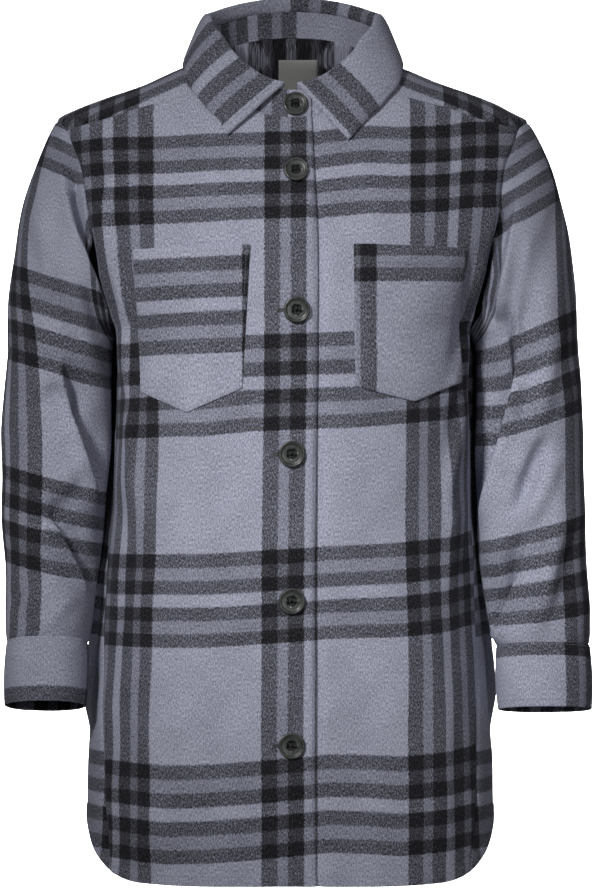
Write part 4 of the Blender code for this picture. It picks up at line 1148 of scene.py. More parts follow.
def sleeve_ring(side, z, angle):
    """Points of a sleeve's rings; angle is 0 on the outer side and grows to the front."""
    inner, outer, middle, depth, tilt = (ring(z) for ring in SLEEVE_CURVES[side])
    c = np.cos(angle)
    s = np.sin(angle)
    lean = np.radians(tilt)
    x = (inner + outer) / 2 + (outer - inner) / 2 * np.copysign(np.abs(c) ** SLEEVE_SQUARE, c)
    forward = depth * np.copysign(np.abs(s) ** SLEEVE_SQUARE, s)
    point = vector(x, middle - forward * np.cos(lean), z + forward * np.sin(lean))
    point = point + vector(c, -s, 0 * c) * sleeve_push(side, angle, x, z)[..., None]
    return point * (side, 1, 1)


def armhole_loop(side):
    """Points round the armhole seam and their angles on the sleeve."""
    front = [(ARMPIT, False)] + [(z, False) for z in FRONT_ARM_ROWS[:-1]]
    over = [(z, i > YOKE_ARM_TOP) for i, z in enumerate(YOKE_ARM_ROWS)]
    back = [(z, True) for z in reversed(BACK_ARM_ROWS[:-1])]
    spots = np.array([(side * armhole_turn(z, behind), z) for z, behind in front + over + back])
    points = body(*spread(spots, LOOP_STEP, closed=True).T)
    top = (len(FRONT_ARM_ROWS) + YOKE_ARM_TOP) * LOOP_STEP
    steps = np.linalg.norm(np.roll(points, -1, axis=0) - points, axis=1)
    run = np.concatenate([[0], np.cumsum(steps)[:-1]])
    front_length = steps[:top].sum()
    back_length = steps[top:].sum()
    angles = np.where(
        np.arange(len(run)) <= top,
        np.pi * (1 - run / front_length),
        -np.pi * (run - front_length) / back_length,
    )
    return points, angles


def leaving(side, angle):
    """Directions in which the sleeve leaves the armhole."""
    c = np.cos(angle)
    out = mix(*LEAVE_OUT, 0.5 + 0.5 * c)
    return unit(vector(side * out, -LEAVE_FRONT * np.sin(angle), -LEAVE_DOWN + 0 * c))


def sleeve_cap(side, start, angle):
    """Rows between the armhole and the first full ring of the sleeve."""
    end = sleeve_ring(side, np.full(len(angle), SLEEVE_RINGS[side][0][0]), angle)
    reach = np.linalg.norm(end - start, axis=1)[:, None]
    first = start + leaving(side, angle) * reach * SLEEVE_LEAVE
    second = end + np.array([0, 0, 1]) * reach * SLEEVE_ARRIVE
    facing = vector(side * np.cos(angle), -np.sin(angle), 0 * angle)
    cap = []
    for share in np.arange(CAP_ROWS * CAP_STEP) / (CAP_ROWS * CAP_STEP):
        point = bezier(start, first, second, end, share)
        push = sleeve_push(side, angle, np.abs(point[:, 0]), point[:, 2])
        push = push * (math.sin(math.pi * share / 2) - share**3)
        cap.append(point + facing * push[:, None])
    return np.array(cap)


def make_sleeve(side):
    name = f"sleeve_{WORDS[side]}"
    start, angle = armhole_loop(side)
    top_z, low_z = SLEEVE_RINGS[side][0][0], SLEEVE_RINGS[side][-1][0]
    heights = np.linspace(top_z, low_z, int((top_z - low_z) / RING_GAP))
    rings = sleeve_ring(side, *np.meshgrid(heights, angle, indexing="ij"))
    base = np.concatenate([sleeve_cap(side, start, angle), rings])
    u = sleeve_around(base, side, angle)
    along = sleeve_along(base, len(rings))
    across = np.abs(base[..., 0]) - SLEEVE_MIDDLE[side]
    slope = np.interp(along, *zip(*SLEEVE_SLOPE[side]))
    v = np.interp(along + slope * across, *zip(*SLEEVE_WEFT[side]))
    uv = np.stack([u, v], axis=-1)
    order = slice(None, None, 1 if side > 0 else -1)
    base, uv = base[::-1, order], uv[::-1, order]
    normals = grid_normals(base, tube=True)
    points = creased(base, normals, name)
    normals = grid_normals(points, tube=True)
    for edge, depth in zip(("high", "low"), SLEEVE_TUCK):
        points = tucked(points, normals, [edge], TUCK * depth)
    piece = shell(name, points, normals, uv, tube=True)
    declare(piece, name)
    return points, normals


def sleeve_around(points, side, angle):
    """Distance round the sleeve from its warp group's inner edge, growing outwards."""
    steps = np.linalg.norm(np.roll(points, -1, axis=1) - points, axis=-1)
    run = np.cumsum(steps, axis=1) - steps
    first = int(np.argmin(np.abs(angle - math.pi * 0.75)))
    outer = int(np.argmin(np.abs(angle)))
    x = np.abs(points[..., 0])
    off = x - np.interp(points[..., 2], *zip(*SLEEVE_WARP[side]))
    starts = []
    for row in range(len(points)):
        near = first + int(np.argmax(np.append(off[row, first:outer] > 0, True)))
        share = off[row, near - 1] / min(off[row, near - 1] - off[row, near], -1e-6)
        starts.append(mix(run[row, near - 1], run[row, near], np.clip(share, 0, 1)))
    starts = np.convolve(np.pad(starts, SMOOTH_ROWS, "edge"), np.ones(SMOOTH_ROWS * 2 + 1), "valid")
    away = run - (starts / (SMOOTH_ROWS * 2 + 1))[:, None]
    return np.where(away < 0, away * INNER_STRETCH, away)


def sleeve_along(points, ring_rows):
    """Height down the sleeve: true height on its rings, length of cloth on its cap."""
    steps = np.linalg.norm(np.diff(points, axis=0), axis=-1)
    count = len(points) - ring_rows
    cap = np.cumsum(steps[:count][::-1], axis=0)[::-1]
    return np.concatenate([cap + points[count, :, 2].mean(), points[count:, :, 2]])


def cuff_axis(side):
    tilt = math.radians(SLEEVE_RINGS[side][-1][-1])
    return unit(np.array([side * CUFF_OUT, -math.sin(tilt), -math.cos(tilt)]))


def make_cuff(side):
    name = f"cuff_{WORDS[side]}"
    _, angle = armhole_loop(side)
    count = len(angle)
    lap = int(np.argmin(np.abs(angle + math.radians(CUFF_LAP_TURN))))
    extra = CUFF_LAP_COLUMNS * LOOP_STEP
    steps = np.arange(count + extra + 1)
    order = (lap - steps) % count
    low_z = SLEEVE_RINGS[side][-1][0]
    ring = sleeve_ring(side, np.full(count, float(low_z)), angle)
    axis = cuff_axis(side)
    along = np.roll(ring, -1, axis=0) - np.roll(ring, 1, axis=0)
    out = unit(np.cross(along, -axis * side))
    depth = -(WALL + LAY) * smooth((steps - count + extra) / extra)
    down = np.array(CUFF_LINES)
    flare = CUFF_FLARE * np.sin(np.pi * down / CUFF_HEIGHT)
    lift = CUFF_PUFF * smooth(down / 3.0) + flare
    base = ring[order][None] + axis * down[:, None, None]
    points = base + out[order][None] * (depth[None, :] + lift[:, None])[..., None]
    arc = run_along(ring[order])
    front = int(np.argmin(np.abs(angle[order] - math.pi / 2)))
    u = np.broadcast_to(arc[front] - arc - CUFF_WARP[side], points.shape[:2])
    v = np.broadcast_to((CUFF_WEFT[side] - down)[:, None], points.shape[:2])
    uv = np.stack([u, v], axis=-1)[::-1]
    points = points[::-1]
    if side > 0:
        points, uv = points[:, ::-1], uv[:, ::-1]
    normals = grid_normals(points)
    piece = shell(name, points, normals, uv, CLOTH + CUFF_PUFF)
    declare(piece, name)
    return points, normals


# Collar


def plan_normals(points):
    """Outward directions across a line of points, level with the ground."""
    along = np.gradient(points, axis=0)
    return unit(vector(along[:, 1], -along[:, 0], 0 * along[:, 0]))


def stand_lines():
    """Bottom and top lines of the stand, with their outward directions."""
    turn, z, lift = spread(np.array(neck_spots(), float), NECK_STEP).T
    flat = body(turn, z)
    out = plan_normals(flat)
    bottom = flat + body_normal(turn, z) * lift[:, None]
    lean = stand_lean(folded_turn(turn))
    top = flat + np.array([0, 0, STAND_HEIGHT]) + out * (lean + lift)[:, None]
    return bottom, top, out


def make_stand():
    bottom, top, _ = stand_lines()
    shares = np.linspace(0, 1, STAND_LINES)[:, None, None]
    points = bottom[None] * (1 - shares) + top[None] * shares
    normals = grid_normals(points)
    points = tucked(points, normals, ["low"], STAND_TUCK)
    run = run_along(top)
    u = np.broadcast_to(STAND_WARP + run[-1] / 2 - run, points.shape[:2])
    v = np.broadcast_to(STAND_WEFT + shares[..., 0] * STAND_HEIGHT, points.shape[:2])
    piece = shell("collar_stand", points, normals, np.stack([u, v], axis=-1), CLOTH)
    declare(piece, "collar_stand")
    return points, normals


def leaf_edge_points(share, right):
    turn, z, off = (curve(LEAF_EDGE, column)(share) for column in (1, 2, 3))
    near = smooth(1 - share / 0.14) * right
    turn = np.radians(turn) + math.radians(TIP_RIGHT[0]) * near
    turn = np.where(right, -turn, turn)
    z = z + TIP_RIGHT[1] * near
    return body(turn, z) + body_normal(turn, z) * off[:, None]


def leaf_grid():
    """Rows of the leaf from its outer edge up over the roll to the stand."""
    _, top, out = stand_lines()
    ends = LEAF_START * NECK_STEP
    start = (top - out * WALL / 2 + np.array([0, 0, 2 * SEAM]))[ends:-ends]
    way = out[ends:-ends]
    run = run_along(start)
    whole = 2 * run / run[-1]
    right = whole > 1
    share = np.where(right, 2 - whole, whole)
    up = np.array([0, 0, 1.0])
    rise = leaf_rise(share)[:, None]
    roll = leaf_roll(share)[:, None]
    peak = start + up * rise + way * roll * 0.5
    edge = leaf_edge_points(share, right)
    rows = []
    for k in np.linspace(0, 1, LEAF_RISE_ROWS)[:-1]:
        rows.append(bezier(start, start + up * rise * LEAF_UP, peak - way * roll * LEAF_OVER, peak, k))
    shoulder = peak + way * roll * LEAF_SHOULDER
    hang = edge + (peak - edge) * LEAF_HANG[0] + way * LEAF_HANG[1]
    for k in np.linspace(0, 1, LEAF_FALL_ROWS) ** LEAF_CROWD:
        rows.append(bezier(peak, shoulder, hang, edge, k))
    return np.array(rows)[::-1]


def collar_place(run, whole):
    """True distance from a front edge at first, then an even share of what is left."""
    true = run * COLLAR_SLANT
    rest = whole * COLLAR_SLANT - COLLAR_TRUE
    later = COLLAR_TRUE + (true - COLLAR_TRUE) * (COLLAR_LENGTH / 2 - COLLAR_TRUE) / rest
    return np.where(true < COLLAR_TRUE, true, later)


def make_leaf():
    points = leaf_grid()
    normals = grid_normals(points)
    run = run_along(points.swapaxes(0, 1)).T
    middle = run.shape[1] // 2
    rest = run[:, -1:] - run
    left = collar_place(run, run[:, middle : middle + 1])
    right = COLLAR_LENGTH - collar_place(rest, rest[:, middle : middle + 1])
    place = np.where(np.arange(run.shape[1]) <= middle, left, right)
    xs, ys = zip(*COLLAR_WARP)
    u = np.interp(COLLAR_LENGTH - place, xs, ys)
    down = run_along(points)
    v = COLLAR_WEFT + down
    puff = smooth((down - LEAF_PUFF_EDGE[0]) / LEAF_PUFF_EDGE[1]) * LEAF_PUFF
    seen = points + normals * (LEAF_WALL / 2 + puff)[..., None]
    piece = shell("collar", seen, normals, np.stack([u, v], axis=-1), FOLDED + puff)
    declare(piece, "collar")
    return seen, normals


# Pockets and label


def pocket_grid(name, across, up):
    """A pocket's corners filled with rows from its pointed foot to its top."""
    top_in, top_out, low_out, tip, low_in = (np.array(c, float) for c in POCKETS[name])
    across = across[:, None]
    inner_foot = low_in + (tip - low_in) * (across * 2)
    outer_foot = tip + (low_out - tip) * (across * 2 - 1)
    low = np.where(across <= 0.5, inner_foot, outer_foot)
    high = top_in + (top_out - top_in) * across
    return np.array([low + (high - low) * i for i in up])


def make_pocket(name):
    side = 1 if name.endswith("left") else -1
    across = up = edge_spaced(POCKET_FINE)
    spots = pocket_grid(name, across, up)
    x, z = spots[..., 0], spots[..., 1]
    turn = turn_at(x, z)
    base = creased(body(turn, z), body_normal(turn, z), "front")
    if side < 0:
        base, x, z = base[:, ::-1], x[:, ::-1], z[:, ::-1]
    normals = grid_normals(base)
    inset = np.minimum(np.minimum(across, 1 - across)[None, :], up[:, None])
    puff = smooth(inset / POCKET_PUFF_EDGE)
    hem_at, hem_fade = POCKET_HEM_AT
    band = smooth((up[:, None] - hem_at) / hem_fade)
    lift = POCKET_BASE + POCKET_PUFF * puff + POCKET_HEM * band
    points = base + normals * lift[..., None]
    start_u, slope, start_v, scale = POCKET_CHECK[name]
    rise = z - slope * x - start_v[0]
    v = start_v[1] + rise * np.where(rise > 0, scale, POCKET_BELOW)
    uv = np.stack([x - start_u, v], axis=-1)
    piece = shell(name, points, normals, uv)
    declare(piece, name)
    return points, normals


def edge_spaced(count):
    """Shares from 0 to 1 that lie closer together near both ends."""
    return np.unique(np.round(np.concatenate([np.linspace(0, 1, count), POCKET_EXTRA]), 4))


def make_label():
    width, height = LABEL_SIZE
    rows, columns = LABEL_FINE
    z = (LABEL_TOP - height + np.linspace(0, height, rows))[:, None] + np.zeros((1, columns))
    x = np.broadcast_to(LABEL_MIDDLE + width * (0.5 - np.linspace(0, 1, columns)), z.shape)
    turn = turn_at(x, z, back=True)
    points = body(turn, z) - body_normal(turn, z) * (WALL + LAY * 0.5)
    points = points[:, ::-1]
    normals = grid_normals(points)
    piece = shell("label", points, normals, np.stack([x, z], axis=-1), LABEL_WALL, material="label")
    declare(piece, "label")


# Buttons


def circle(radius, sides, middle=(0.0, 0.0)):
    turns = 2 * np.pi * np.arange(sides) / sides
    return np.stack([middle[0] + radius * np.cos(turns), middle[1] + radius * np.sin(turns)], axis=-1)


def button_points(diameter):
    """Points and faces of a dished button with four holes, lying on its back."""
    rings = [(circle(diameter * (0.5 - inset), RIM_SIDES), diameter * h) for inset, h in BUTTON_SHAPE]
    reach = diameter * HOLE_OFFSET
    places = [(reach, reach), (-reach, reach), (-reach, -reach), (reach, -reach)]
    holes = [circle(diameter * HOLE_RADIUS, HOLE_ROUND, place) for place in places]
    points = [(x, y, h) for ring, h in rings for x, y in ring]
    faces = []
    for i in range(len(rings) - 1):
        for j in range(RIM_SIDES):
            k = (j + 1) % RIM_SIDES
            a, b = i * RIM_SIDES + j, i * RIM_SIDES + k
            faces.append((a, b, b + RIM_SIDES, a + RIM_SIDES))
    floor = len(points)
    for height in (rings[0][1], rings[-1][1]):
        points += [(x, y, height) for hole in holes for x, y in hole]
    size = 4 * HOLE_ROUND
    top_ring = (len(rings) - 1) * RIM_SIDES
    for upward, ring_at, hole_at in ((False, 0, floor), (True, top_ring, floor + size)):
        outline = rings[-1][0] if upward else rings[0][0]
        for face in disc_plate(outline, holes, upward):
            faces.append(tuple(ring_at + k if k < RIM_SIDES else hole_at + k - RIM_SIDES for k in face))
    for h in range(4):
        for j in range(HOLE_ROUND):
            a = floor + h * HOLE_ROUND + j
            b = floor + h * HOLE_ROUND + (j + 1) % HOLE_ROUND
            faces.append((b, a, a + size, b + size))
    return np.array(points, float), faces


def disc_plate(outline, holes, upward):
    """Triangles of a disc with holes, as indices into outline then holes."""
    points = [Vector(p) for p in np.concatenate([outline, *holes])]
    loops = [list(range(len(outline)))]
    start = len(outline)
    for hole in holes:
        loops.append(list(range(start, start + len(hole))))
        start += len(hole)
    edges = [(loop[k - 1], loop[k]) for loop in loops for k in range(len(loop))]
    found = delaunay_2d_cdt(points, edges, [], 0, 1e-7)
    faces = []
    for face in found[2]:
        corners = [found[0][k] for k in face]
        middle = np.mean(corners, axis=0)
        reach = np.linalg.norm(holes[0][0] - holes[0].mean(0)) * 0.9
        if any(np.linalg.norm(middle - hole.mean(0)) < reach for hole in holes):
            continue
        turn = (corners[1] - corners[0]).cross(corners[2] - corners[0])
        faces.append(tuple(face) if (turn > 0) == upward else tuple(reversed(face)))
    return faces


def placed(points, place, normal, up):
    """Local points moved to a place on the cloth, lying along its normal."""
    side = unit(np.cross(up, normal))
    true_up = np.cross(normal, side)
    return place + points[:, :1] * side + points[:, 1:2] * true_up + points[:, 2:] * normal


def make_button(name, place, normal, up, diameter):
    points, faces = button_points(diameter)
    base = place + normal * BUTTON_LIFT
    piece = plain_mesh(f"{name}_disc", placed(points, base, normal, up), faces, "button")
    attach(piece, "root")
    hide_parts(name)
    reach = diameter * HOLE_OFFSET
    arch = np.array([(share * reach, 0, diameter * BUTTON_FACE + h) for share, h in THREAD_ARCH])
    tubes = []
    for y in (reach, -reach):
        for shift in (-THREAD_APART, THREAD_APART):
            tubes.append(tube(arch + (0, y + shift, 0), THREAD_RADIUS, THREAD_SIDES))
    points, faces = joined(tubes)
    thread = plain_mesh(f"{name}_thread", placed(points, base, normal, up), faces, "thread_dark")
    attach(thread, "root")


def tube(line, radius, sides):
    """A round thread along a line of points, tapered to closed ends."""
    line = np.asarray(line, float)
    along = unit(np.gradient(line, axis=0))
    guess = np.array([0, 0, 1.0]) if abs(along[0][2]) < 0.9 else np.array([1.0, 0, 0])
    first = unit(np.cross(along, guess))
    second = np.cross(along, first)
    turns = 2 * np.pi * np.arange(sides) / sides
    scale = np.ones(len(line))
    scale[0] = scale[-1] = 0.5
    rings = [
        p + radius * s * (np.cos(turns)[:, None] * f + np.sin(turns)[:, None] * g)
        for p, s, f, g in zip(line, scale, first, second)
    ]
    points = np.concatenate(rings)
    faces = []
    for i in range(len(line) - 1):
        for j in range(sides):
            k = (j + 1) % sides
            faces.append((i * sides + j, i * sides + k, (i + 1) * sides + k, (i + 1) * sides + j))
    faces.append(tuple(range(sides))[::-1])
    faces.append(tuple((len(line) - 1) * sides + j for j in range(sides)))
    return points, faces


def joined(parts):
    """Several point and face lists as one."""
    points = []
    faces = []
    start = 0
    for more, shape in parts:
        points.append(more)
        faces += [tuple(start + k for k in face) for face in shape]
        start += len(more)
    return np.concatenate(points), faces


def make_buttons(cuffs):
    for name, x, z, diameter in BUTTONS:
        if name == "button_collar":
            place, normal = stand_place(x, z)
        else:
            turn = turn_at(x, z)
            place, normal = body(turn, z), body_normal(turn, z)
            place = creased(place[None, None], normal[None, None], "front")[0, 0]
        make_button(name, place, normal, np.array([0, 0, 1.0]), diameter)
        if name != "button_collar":
            make_buttonhole(f"buttonhole{name[6:]}", place, normal, diameter)
    for side, (points, normals) in cuffs.items():
        row = len(points) // 2
        column = LOOP_STEP if side < 0 else points.shape[1] - 1 - LOOP_STEP
        place, normal = points[row, column], normals[row, column]
        make_button(f"button_cuff_{WORDS[side]}", place, normal, -cuff_axis(side), CUFF_BUTTON)


def stand_place(x, z):
    """A point on the front of the stand and its normal."""
    low_z = float(neck_z(0))
    share = (z - low_z) / STAND_HEIGHT
    low = body(turn_at(x, low_z), low_z)
    lean = float(stand_lean(0))
    place = low + np.array([0, -lean, STAND_HEIGHT]) * share
    return place, unit(np.array([0, -STAND_HEIGHT, -lean]))


def make_buttonhole(name, place, normal, diameter):
    """Close stitches round a level slit that the button is passed through."""
    side = unit(np.cross([0, 0, 1.0], normal))
    up = np.cross(normal, side)
    reach = diameter / 2 + HOLE_PAST
    spots = []
    for k in np.linspace(*HOLE_RUN, HOLE_STITCHES):
        for way in (HOLE_HALF, -HOLE_HALF):
            middle = place + side * reach * k + up * way + normal * HOLE_RAISE
            spots.append((middle, up, normal, 1.5, HOLE_THREAD))
    end = place - side * reach
    for k in np.linspace(-1.2, 1.2, HOLE_BAR):
        spots.append((end + up * k + normal * HOLE_RAISE, side, normal, 1.6, HOLE_THREAD))
    sew(name, spots, "thread_dark")


# Stitching


def sew(name, spots, material):
    """Short raised stitches: middle, direction, normal, length and radius of each."""
    parts = []
    for middle, way, normal, length, radius in spots:
        side = np.cross(normal, way)
        rings = []
        for along, size, height in STITCH_RINGS:
            centre = middle + way * length * along + normal * radius * height
            rings += [centre + (side * a + normal * b) * radius * size for a, b in STITCH_CORNERS]
        parts.append((np.array(rings), STITCH_FACES))
    points, faces = joined(parts)
    piece = plain_mesh(name, points, faces, material, STITCH_ANGLE)
    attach(piece, "root")
    return piece


def stitch_faces():
    """Faces of one stitch, from ring to ring and over both ends."""
    faces = []
    for i in range(0, 12, 4):
        for j in range(4):
            k = (j + 1) % 4
            faces.append((i + j, i + 4 + j, i + 4 + k, i + k))
    return [*faces, (0, 1, 2, 3), (15, 14, 13, 12)]


STITCH_FACES = stitch_faces()


def along_line(at, run, values):
    return np.stack([np.interp(at, run, values[:, k]) for k in range(3)], axis=-1)


def stitch_line(points, normals):
    """Stitches at an even pitch along a line of points."""
    run = run_along(points)
    at = (np.arange(int(run[-1] / STITCH_PITCH)) + 0.5) * STITCH_PITCH
    spots = along_line(at, run, points)
    ways = unit(along_line(at + 0.5, run, points) - spots)
    out = unit(along_line(at, run, normals))
    ways = unit(ways - out * (ways * out).sum(1, keepdims=True))
    return [(p + n * STITCH_LIFT, w, n, STITCH_LENGTH, STITCH_RADIUS) for p, w, n in zip(spots, ways, out)]


def inset_line(points, normals, edge, distance, skip_first, skip_last):
    """The line that runs a distance inside one edge of a grid."""
    if edge in ("first", "last"):
        points, normals = points.swapaxes(0, 1), normals.swapaxes(0, 1)
    if edge in ("high", "last"):
        points, normals = points[::-1], normals[::-1]
    run = run_along(points)
    line = []
    out = []
    for j in range(skip_first, points.shape[1] - skip_last):
        line.append(along_line([distance], run[:, j], points[:, j])[0])
        out.append(along_line([distance], run[:, j], normals[:, j])[0])
    return np.array(line), unit(np.array(out))


def make_stitching(grids):
    lines = {}
    for name, piece, *place in STITCHING:
        spots = stitch_line(*inset_line(*grids[piece], *place))
        lines.setdefault(f"{name}_stitches", []).extend(spots)
    for name, spots in lines.items():
        sew(name, spots, "thread")


# Materials


def linear(colour):
    """A colour given in 0 to 255 as the shader wants it."""
    out = []
    for part in colour:
        share = part / 255
        out.append(share / 12.92 if share <= 0.04045 else ((share + 0.055) / 1.055) ** 2.4)
    return (*out, 1.0)


def put_in(tree, socket, value):
    """Gives a socket a value or another node's output."""
    if isinstance(value, bpy.types.NodeSocket):
        tree.links.new(value, socket)
    else:
        socket.default_value = value


def set_inputs(tree, made, **inputs):
    for name, value in inputs.items():
        put_in(tree, made.inputs[name.replace("_", " ")], value)


def node(tree, kind, **inputs):
    made = tree.nodes.new(kind)
    set_inputs(tree, made, **inputs)
    return made


def math_node(tree, operation, *values, clamp=False):
    made = tree.nodes.new("ShaderNodeMath")
    made.operation = operation
    made.use_clamp = clamp
    for socket, value in zip(made.inputs, values):
        put_in(tree, socket, value)
    return made.outputs[0]


def add(tree, a, b, clamp=False):
    return math_node(tree, "ADD", a, b, clamp=clamp)


def times(tree, a, b):
    return math_node(tree, "MULTIPLY", a, b)


def less(tree, a, b):
    return math_node(tree, "SUBTRACT", a, b)


def cloth_place(tree):
    """Distances along both yarns in millimetres."""
    spot = tree.nodes.new("ShaderNodeUVMap")
    spot.uv_map = "Cloth"
    parts = node(tree, "ShaderNodeSeparateXYZ", Vector=spot.outputs[0])
    return [math_node(tree, "DIVIDE", parts.outputs[k], MM) for k in range(2)]


def bumped(tree, shader, height, strength, distance):
    bump = node(tree, "ShaderNodeBump", Height=height, Strength=strength, Distance=distance)
    tree.links.new(bump.outputs[0], shader.inputs["Normal"])


def colour_ramp(tree, factor, stops):
    """Colours by a factor; each stop is a place from 0 to 1 and a colour in 0 to 255."""
    ramp = tree.nodes.new("ShaderNodeValToRGB")
    tree.links.new(factor, ramp.inputs[0])
    elements = ramp.color_ramp.elements
    for element, (place, colour) in zip(elements, (stops[0], stops[-1])):
        element.position = place
        element.color = linear(colour)
    for place, colour in stops[1:-1]:
        elements.new(place).color = linear(colour)
    return ramp.outputs[0]


def stripe_ramp(tree, place, repeat, stripes):
    """Darkness of one set of yarns at a place across it."""
    share = math_node(tree, "FRACT", math_node(tree, "DIVIDE", place, repeat))
    ramp = tree.nodes.new("ShaderNodeValToRGB")
    tree.links.new(share, ramp.inputs[0])
    stops = ramp.color_ramp.elements
    while len(stops) > 1:
        stops.remove(stops[-1])
    half = FUZZ / 2 / repeat
    last = stripes[-1][1]
    spots = []
    for start, dark in stripes:
        spots.append((max(start / repeat - half, 0.0), last))
        spots.append((start / repeat + half, dark))
        last = dark
    spots.append((1.0, last))
    stops[0].position = spots[0][0]
    stops[0].color = (spots[0][1],) * 3 + (1,)
    for position, dark in spots[1:]:
        stop = stops.new(position)
        stop.color = (dark, dark, dark, 1)
    return ramp.outputs[0]


def noise_at(tree, u, v, scale_u, scale_v, detail=2.0, seed=0.0):
    """Noise over the cloth with its own scale along each yarn, from 0 to 1."""
    place = node(
        tree,
        "ShaderNodeCombineXYZ",
        X=times(tree, u, scale_u),
        Y=times(tree, v, scale_v),
        Z=seed,
    )
    made = node(tree, "ShaderNodeTexNoise", Vector=place.outputs[0], Scale=1.0, Detail=detail)
    return made.outputs["Fac"]


def centred_noise(tree, u, v, key):
    scale_u, scale_v, detail, seed = NOISES[key]
    return less(tree, noise_at(tree, u, v, scale_u, scale_v, detail, seed), 0.5)


def plaid_yarns(tree, u, v):
    """Darkness of the twill's checks, its single flecks, and its diagonal from -1 to 1."""
    rough_u = times(tree, centred_noise(tree, u, v, "rough_u"), ROUGH[0])
    rough_v = times(tree, centred_noise(tree, u, v, "rough_v"), ROUGH[1])
    warp = stripe_ramp(tree, add(tree, u, rough_u), WARP_REPEAT, WARP)
    weft = stripe_ramp(tree, add(tree, v, rough_v), WEFT_REPEAT, WEFT)
    diagonal = add(tree, times(tree, u, TWILL[0]), times(tree, v, TWILL[1]))
    twill = math_node(tree, "SINE", diagonal)
    fleck = centred_noise(tree, u, v, "fleck")
    share = add(tree, times(tree, fleck, FLECK), times(tree, twill, TWILL_SHARE))
    share = add(tree, share, 0.5, clamp=True)
    dark = math_node(tree, "MULTIPLY_ADD", less(tree, warp, weft), share, weft)
    return dark, fleck, twill


def plaid_material():
    """Brushed checked twill: two sets of coloured yarns with a soft nap."""
    material, tree, shader = blank_material("plaid_flannel")
    u, v = cloth_place(tree)
    dark, fleck, twill = plaid_yarns(tree, u, v)
    heather = centred_noise(tree, u, v, "heather")
    dark = add(tree, dark, times(tree, heather, HEATHER))
    dark = add(tree, dark, times(tree, centred_noise(tree, u, v, "cloudy"), CLOUDY))
    low, high = SHADES[0][0], SHADES[-1][0]
    factor = math_node(tree, "DIVIDE", less(tree, dark, low), high - low)
    stops = [((shade - low) / (high - low), colour) for shade, colour in SHADES]
    set_inputs(
        tree,
        shader,
        Base_Color=colour_ramp(tree, factor, stops),
        Roughness=0.92,
        Specular_IOR_Level=0.18,
        Sheen_Weight=0.12,
        Sheen_Roughness=0.55,
        Sheen_Tint=linear((205, 208, 225)),
    )
    nap = add(tree, add(tree, heather, times(tree, twill, 0.12)), times(tree, fleck, 0.8))
    bumped(tree, shader, nap, 0.55, 0.0006)
    return material


def blank_material(name):
    material = bpy.data.materials.new(name)
    material.use_nodes = True
    tree = material.node_tree
    return material, tree, tree.nodes["Principled BSDF"]


def object_noise(tree, scale, detail=3.0):
    place = tree.nodes.new("ShaderNodeTexCoord")
    made = node(tree, "ShaderNodeTexNoise", Vector=place.outputs["Object"], Scale=scale, Detail=detail)
    return made.outputs["Fac"]


def shaded(tree, shader, factor, low, high):
    """Base colour between two shades by a factor."""
    colour = colour_ramp(tree, factor, ((0.3, low), (0.7, high)))
    tree.links.new(colour, shader.inputs["Base Color"])


def button_material():
    """Dark moulded buttons with a faint horn-like cloud and fine scratches."""
    material, tree, shader = blank_material("dark_button")
    shaded(tree, shader, object_noise(tree, 260.0), (36, 38, 36), (70, 73, 70))
    set_inputs(tree, shader, Roughness=0.34, Coat_Weight=0.25, Coat_Roughness=0.2)
    bumped(tree, shader, object_noise(tree, 2400.0), 0.12, 0.0002)
    return material


def label_material():
    """Blank woven satin with fine cross ribs."""
    material, tree, shader = blank_material("satin_label")
    u, v = cloth_place(tree)
    shaded(tree, shader, noise_at(tree, u, v, 0.5, 2.4, 3.0), (132, 132, 130), (158, 158, 156))
    set_inputs(tree, shader, Roughness=0.42)
    bumped(tree, shader, math_node(tree, "SINE", times(tree, v, 9.0)), 0.3, 0.0002)
    return material


def thread_material(name, low, high):
    """Sewing thread with its twist."""
    material, tree, shader = blank_material(name)
    shaded(tree, shader, object_noise(tree, 1500.0), low, high)
    set_inputs(tree, shader, Roughness=0.7, Sheen_Weight=0.2)
    bumped(tree, shader, object_noise(tree, 5200.0), 0.3, 0.0002)
    return material


def floor_material():
    material, tree, shader = blank_material("pale_floor")
    shaded(tree, shader, object_noise(tree, 0.6), (247, 247, 247), (250, 250, 250))
    set_inputs(tree, shader, Roughness=0.9, Specular_IOR_Level=0.1)
    return material


# Studio


def make_floor():
    """A pale floor that curves up into a backdrop, well below the hem."""
    profile = [(FLOOR_FRONT, 0.0), (BEND_START, 0.0)]
    for turn in np.radians(90 * np.arange(1, BEND_STEPS + 1) / BEND_STEPS):
        profile.append((BEND_START + BEND_RADIUS * math.sin(turn), BEND_RADIUS * (1 - math.cos(turn))))
    profile.append((BEND_START + BEND_RADIUS, BACKDROP_TOP))
    points = [(x, y, FLOOR_Z + z) for x in (-FLOOR_SIDE, FLOOR_SIDE) for y, z in profile]
    count = len(profile)
    faces = [(k, k + count, k + count + 1, k + 1) for k in range(count - 1)]
    floor = plain_mesh("floor", np.array(points) / MM, faces, "floor")


def make_light(name, place, target, size, power, spread_angle):
    data = bpy.data.lights.new(name, "AREA")
    data.shape = "RECTANGLE"
    data.size, data.size_y = size
    data.energy = power
    data.spread = math.radians(spread_angle)
    light = bpy.data.objects.new(name, data)
    light.location = place
    light.rotation_euler = (Vector(target) - Vector(place)).to_track_quat("-Z", "Y").to_euler()
    bpy.context.scene.collection.objects.link(light)


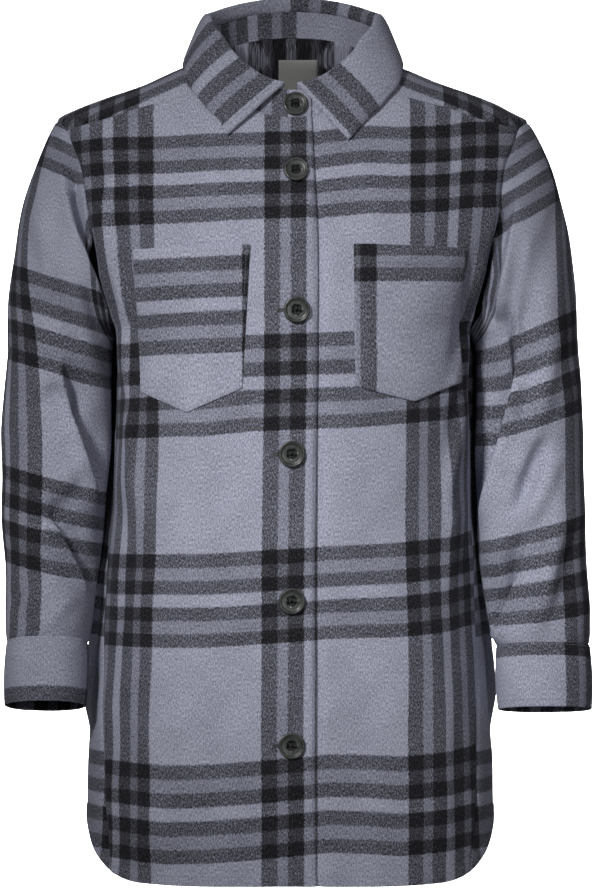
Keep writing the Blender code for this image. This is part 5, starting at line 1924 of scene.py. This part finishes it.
def make_studio():
    for row in LIGHTS:
        make_light(*row)
    world = bpy.data.worlds.new("studio")
    world.use_nodes = True
    background = world.node_tree.nodes["Background"]
    background.inputs["Color"].default_value = AMBIENT
    background.inputs["Strength"].default_value = AMBIENT_STRENGTH
    bpy.context.scene.world = world
    bpy.context.scene.view_settings.view_transform = "Standard"


def make_camera():
    """Level camera in front of the garment, at the photograph's distance and height."""
    data = bpy.data.cameras.new("camera")
    data.sensor_fit = "VERTICAL"
    data.sensor_height = SENSOR
    data.lens = SENSOR * CAMERA_AWAY / (PHOTO_HEIGHT * PIXEL)
    camera = bpy.data.objects.new("camera", data)
    camera.location = Vector((CAMERA_X, -CAMERA_AWAY, CAMERA_Z)) * MM
    camera.rotation_euler = (math.pi / 2, 0, 0)
    bpy.context.scene.collection.objects.link(camera)
    bpy.context.scene.camera = camera


def main():
    grids = {"front_left": make_front(1), "front_right": make_front(-1), "back": make_back()}
    grids["yoke"] = make_yoke()
    grids["collar_stand"] = make_stand()
    grids["collar"] = make_leaf()
    cuffs = {}
    for side, word in WORDS.items():
        grids[f"sleeve_{word}"] = make_sleeve(side)
        cuffs[side] = make_cuff(side)
        grids[f"cuff_{word}"] = cuffs[side]
    for name in POCKETS:
        grids[name] = make_pocket(name)
    make_label()
    make_buttons(cuffs)
    make_stitching(grids)
    make_floor()
    make_studio()
    make_camera()


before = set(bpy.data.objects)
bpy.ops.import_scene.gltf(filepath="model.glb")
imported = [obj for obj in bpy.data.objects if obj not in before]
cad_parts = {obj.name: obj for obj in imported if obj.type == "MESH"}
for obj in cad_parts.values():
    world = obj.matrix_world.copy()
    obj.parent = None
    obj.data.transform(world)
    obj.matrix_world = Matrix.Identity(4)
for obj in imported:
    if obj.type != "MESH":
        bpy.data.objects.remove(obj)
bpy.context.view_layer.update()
materials = {
    "cloth": plaid_material(),
    "button": button_material(),
    "label": label_material(),
    "thread": thread_material("thread", (96, 98, 110), (128, 130, 145)),
    "thread_dark": thread_material("thread_dark", (50, 53, 51), (72, 75, 72)),
    "floor": floor_material(),
}
main()
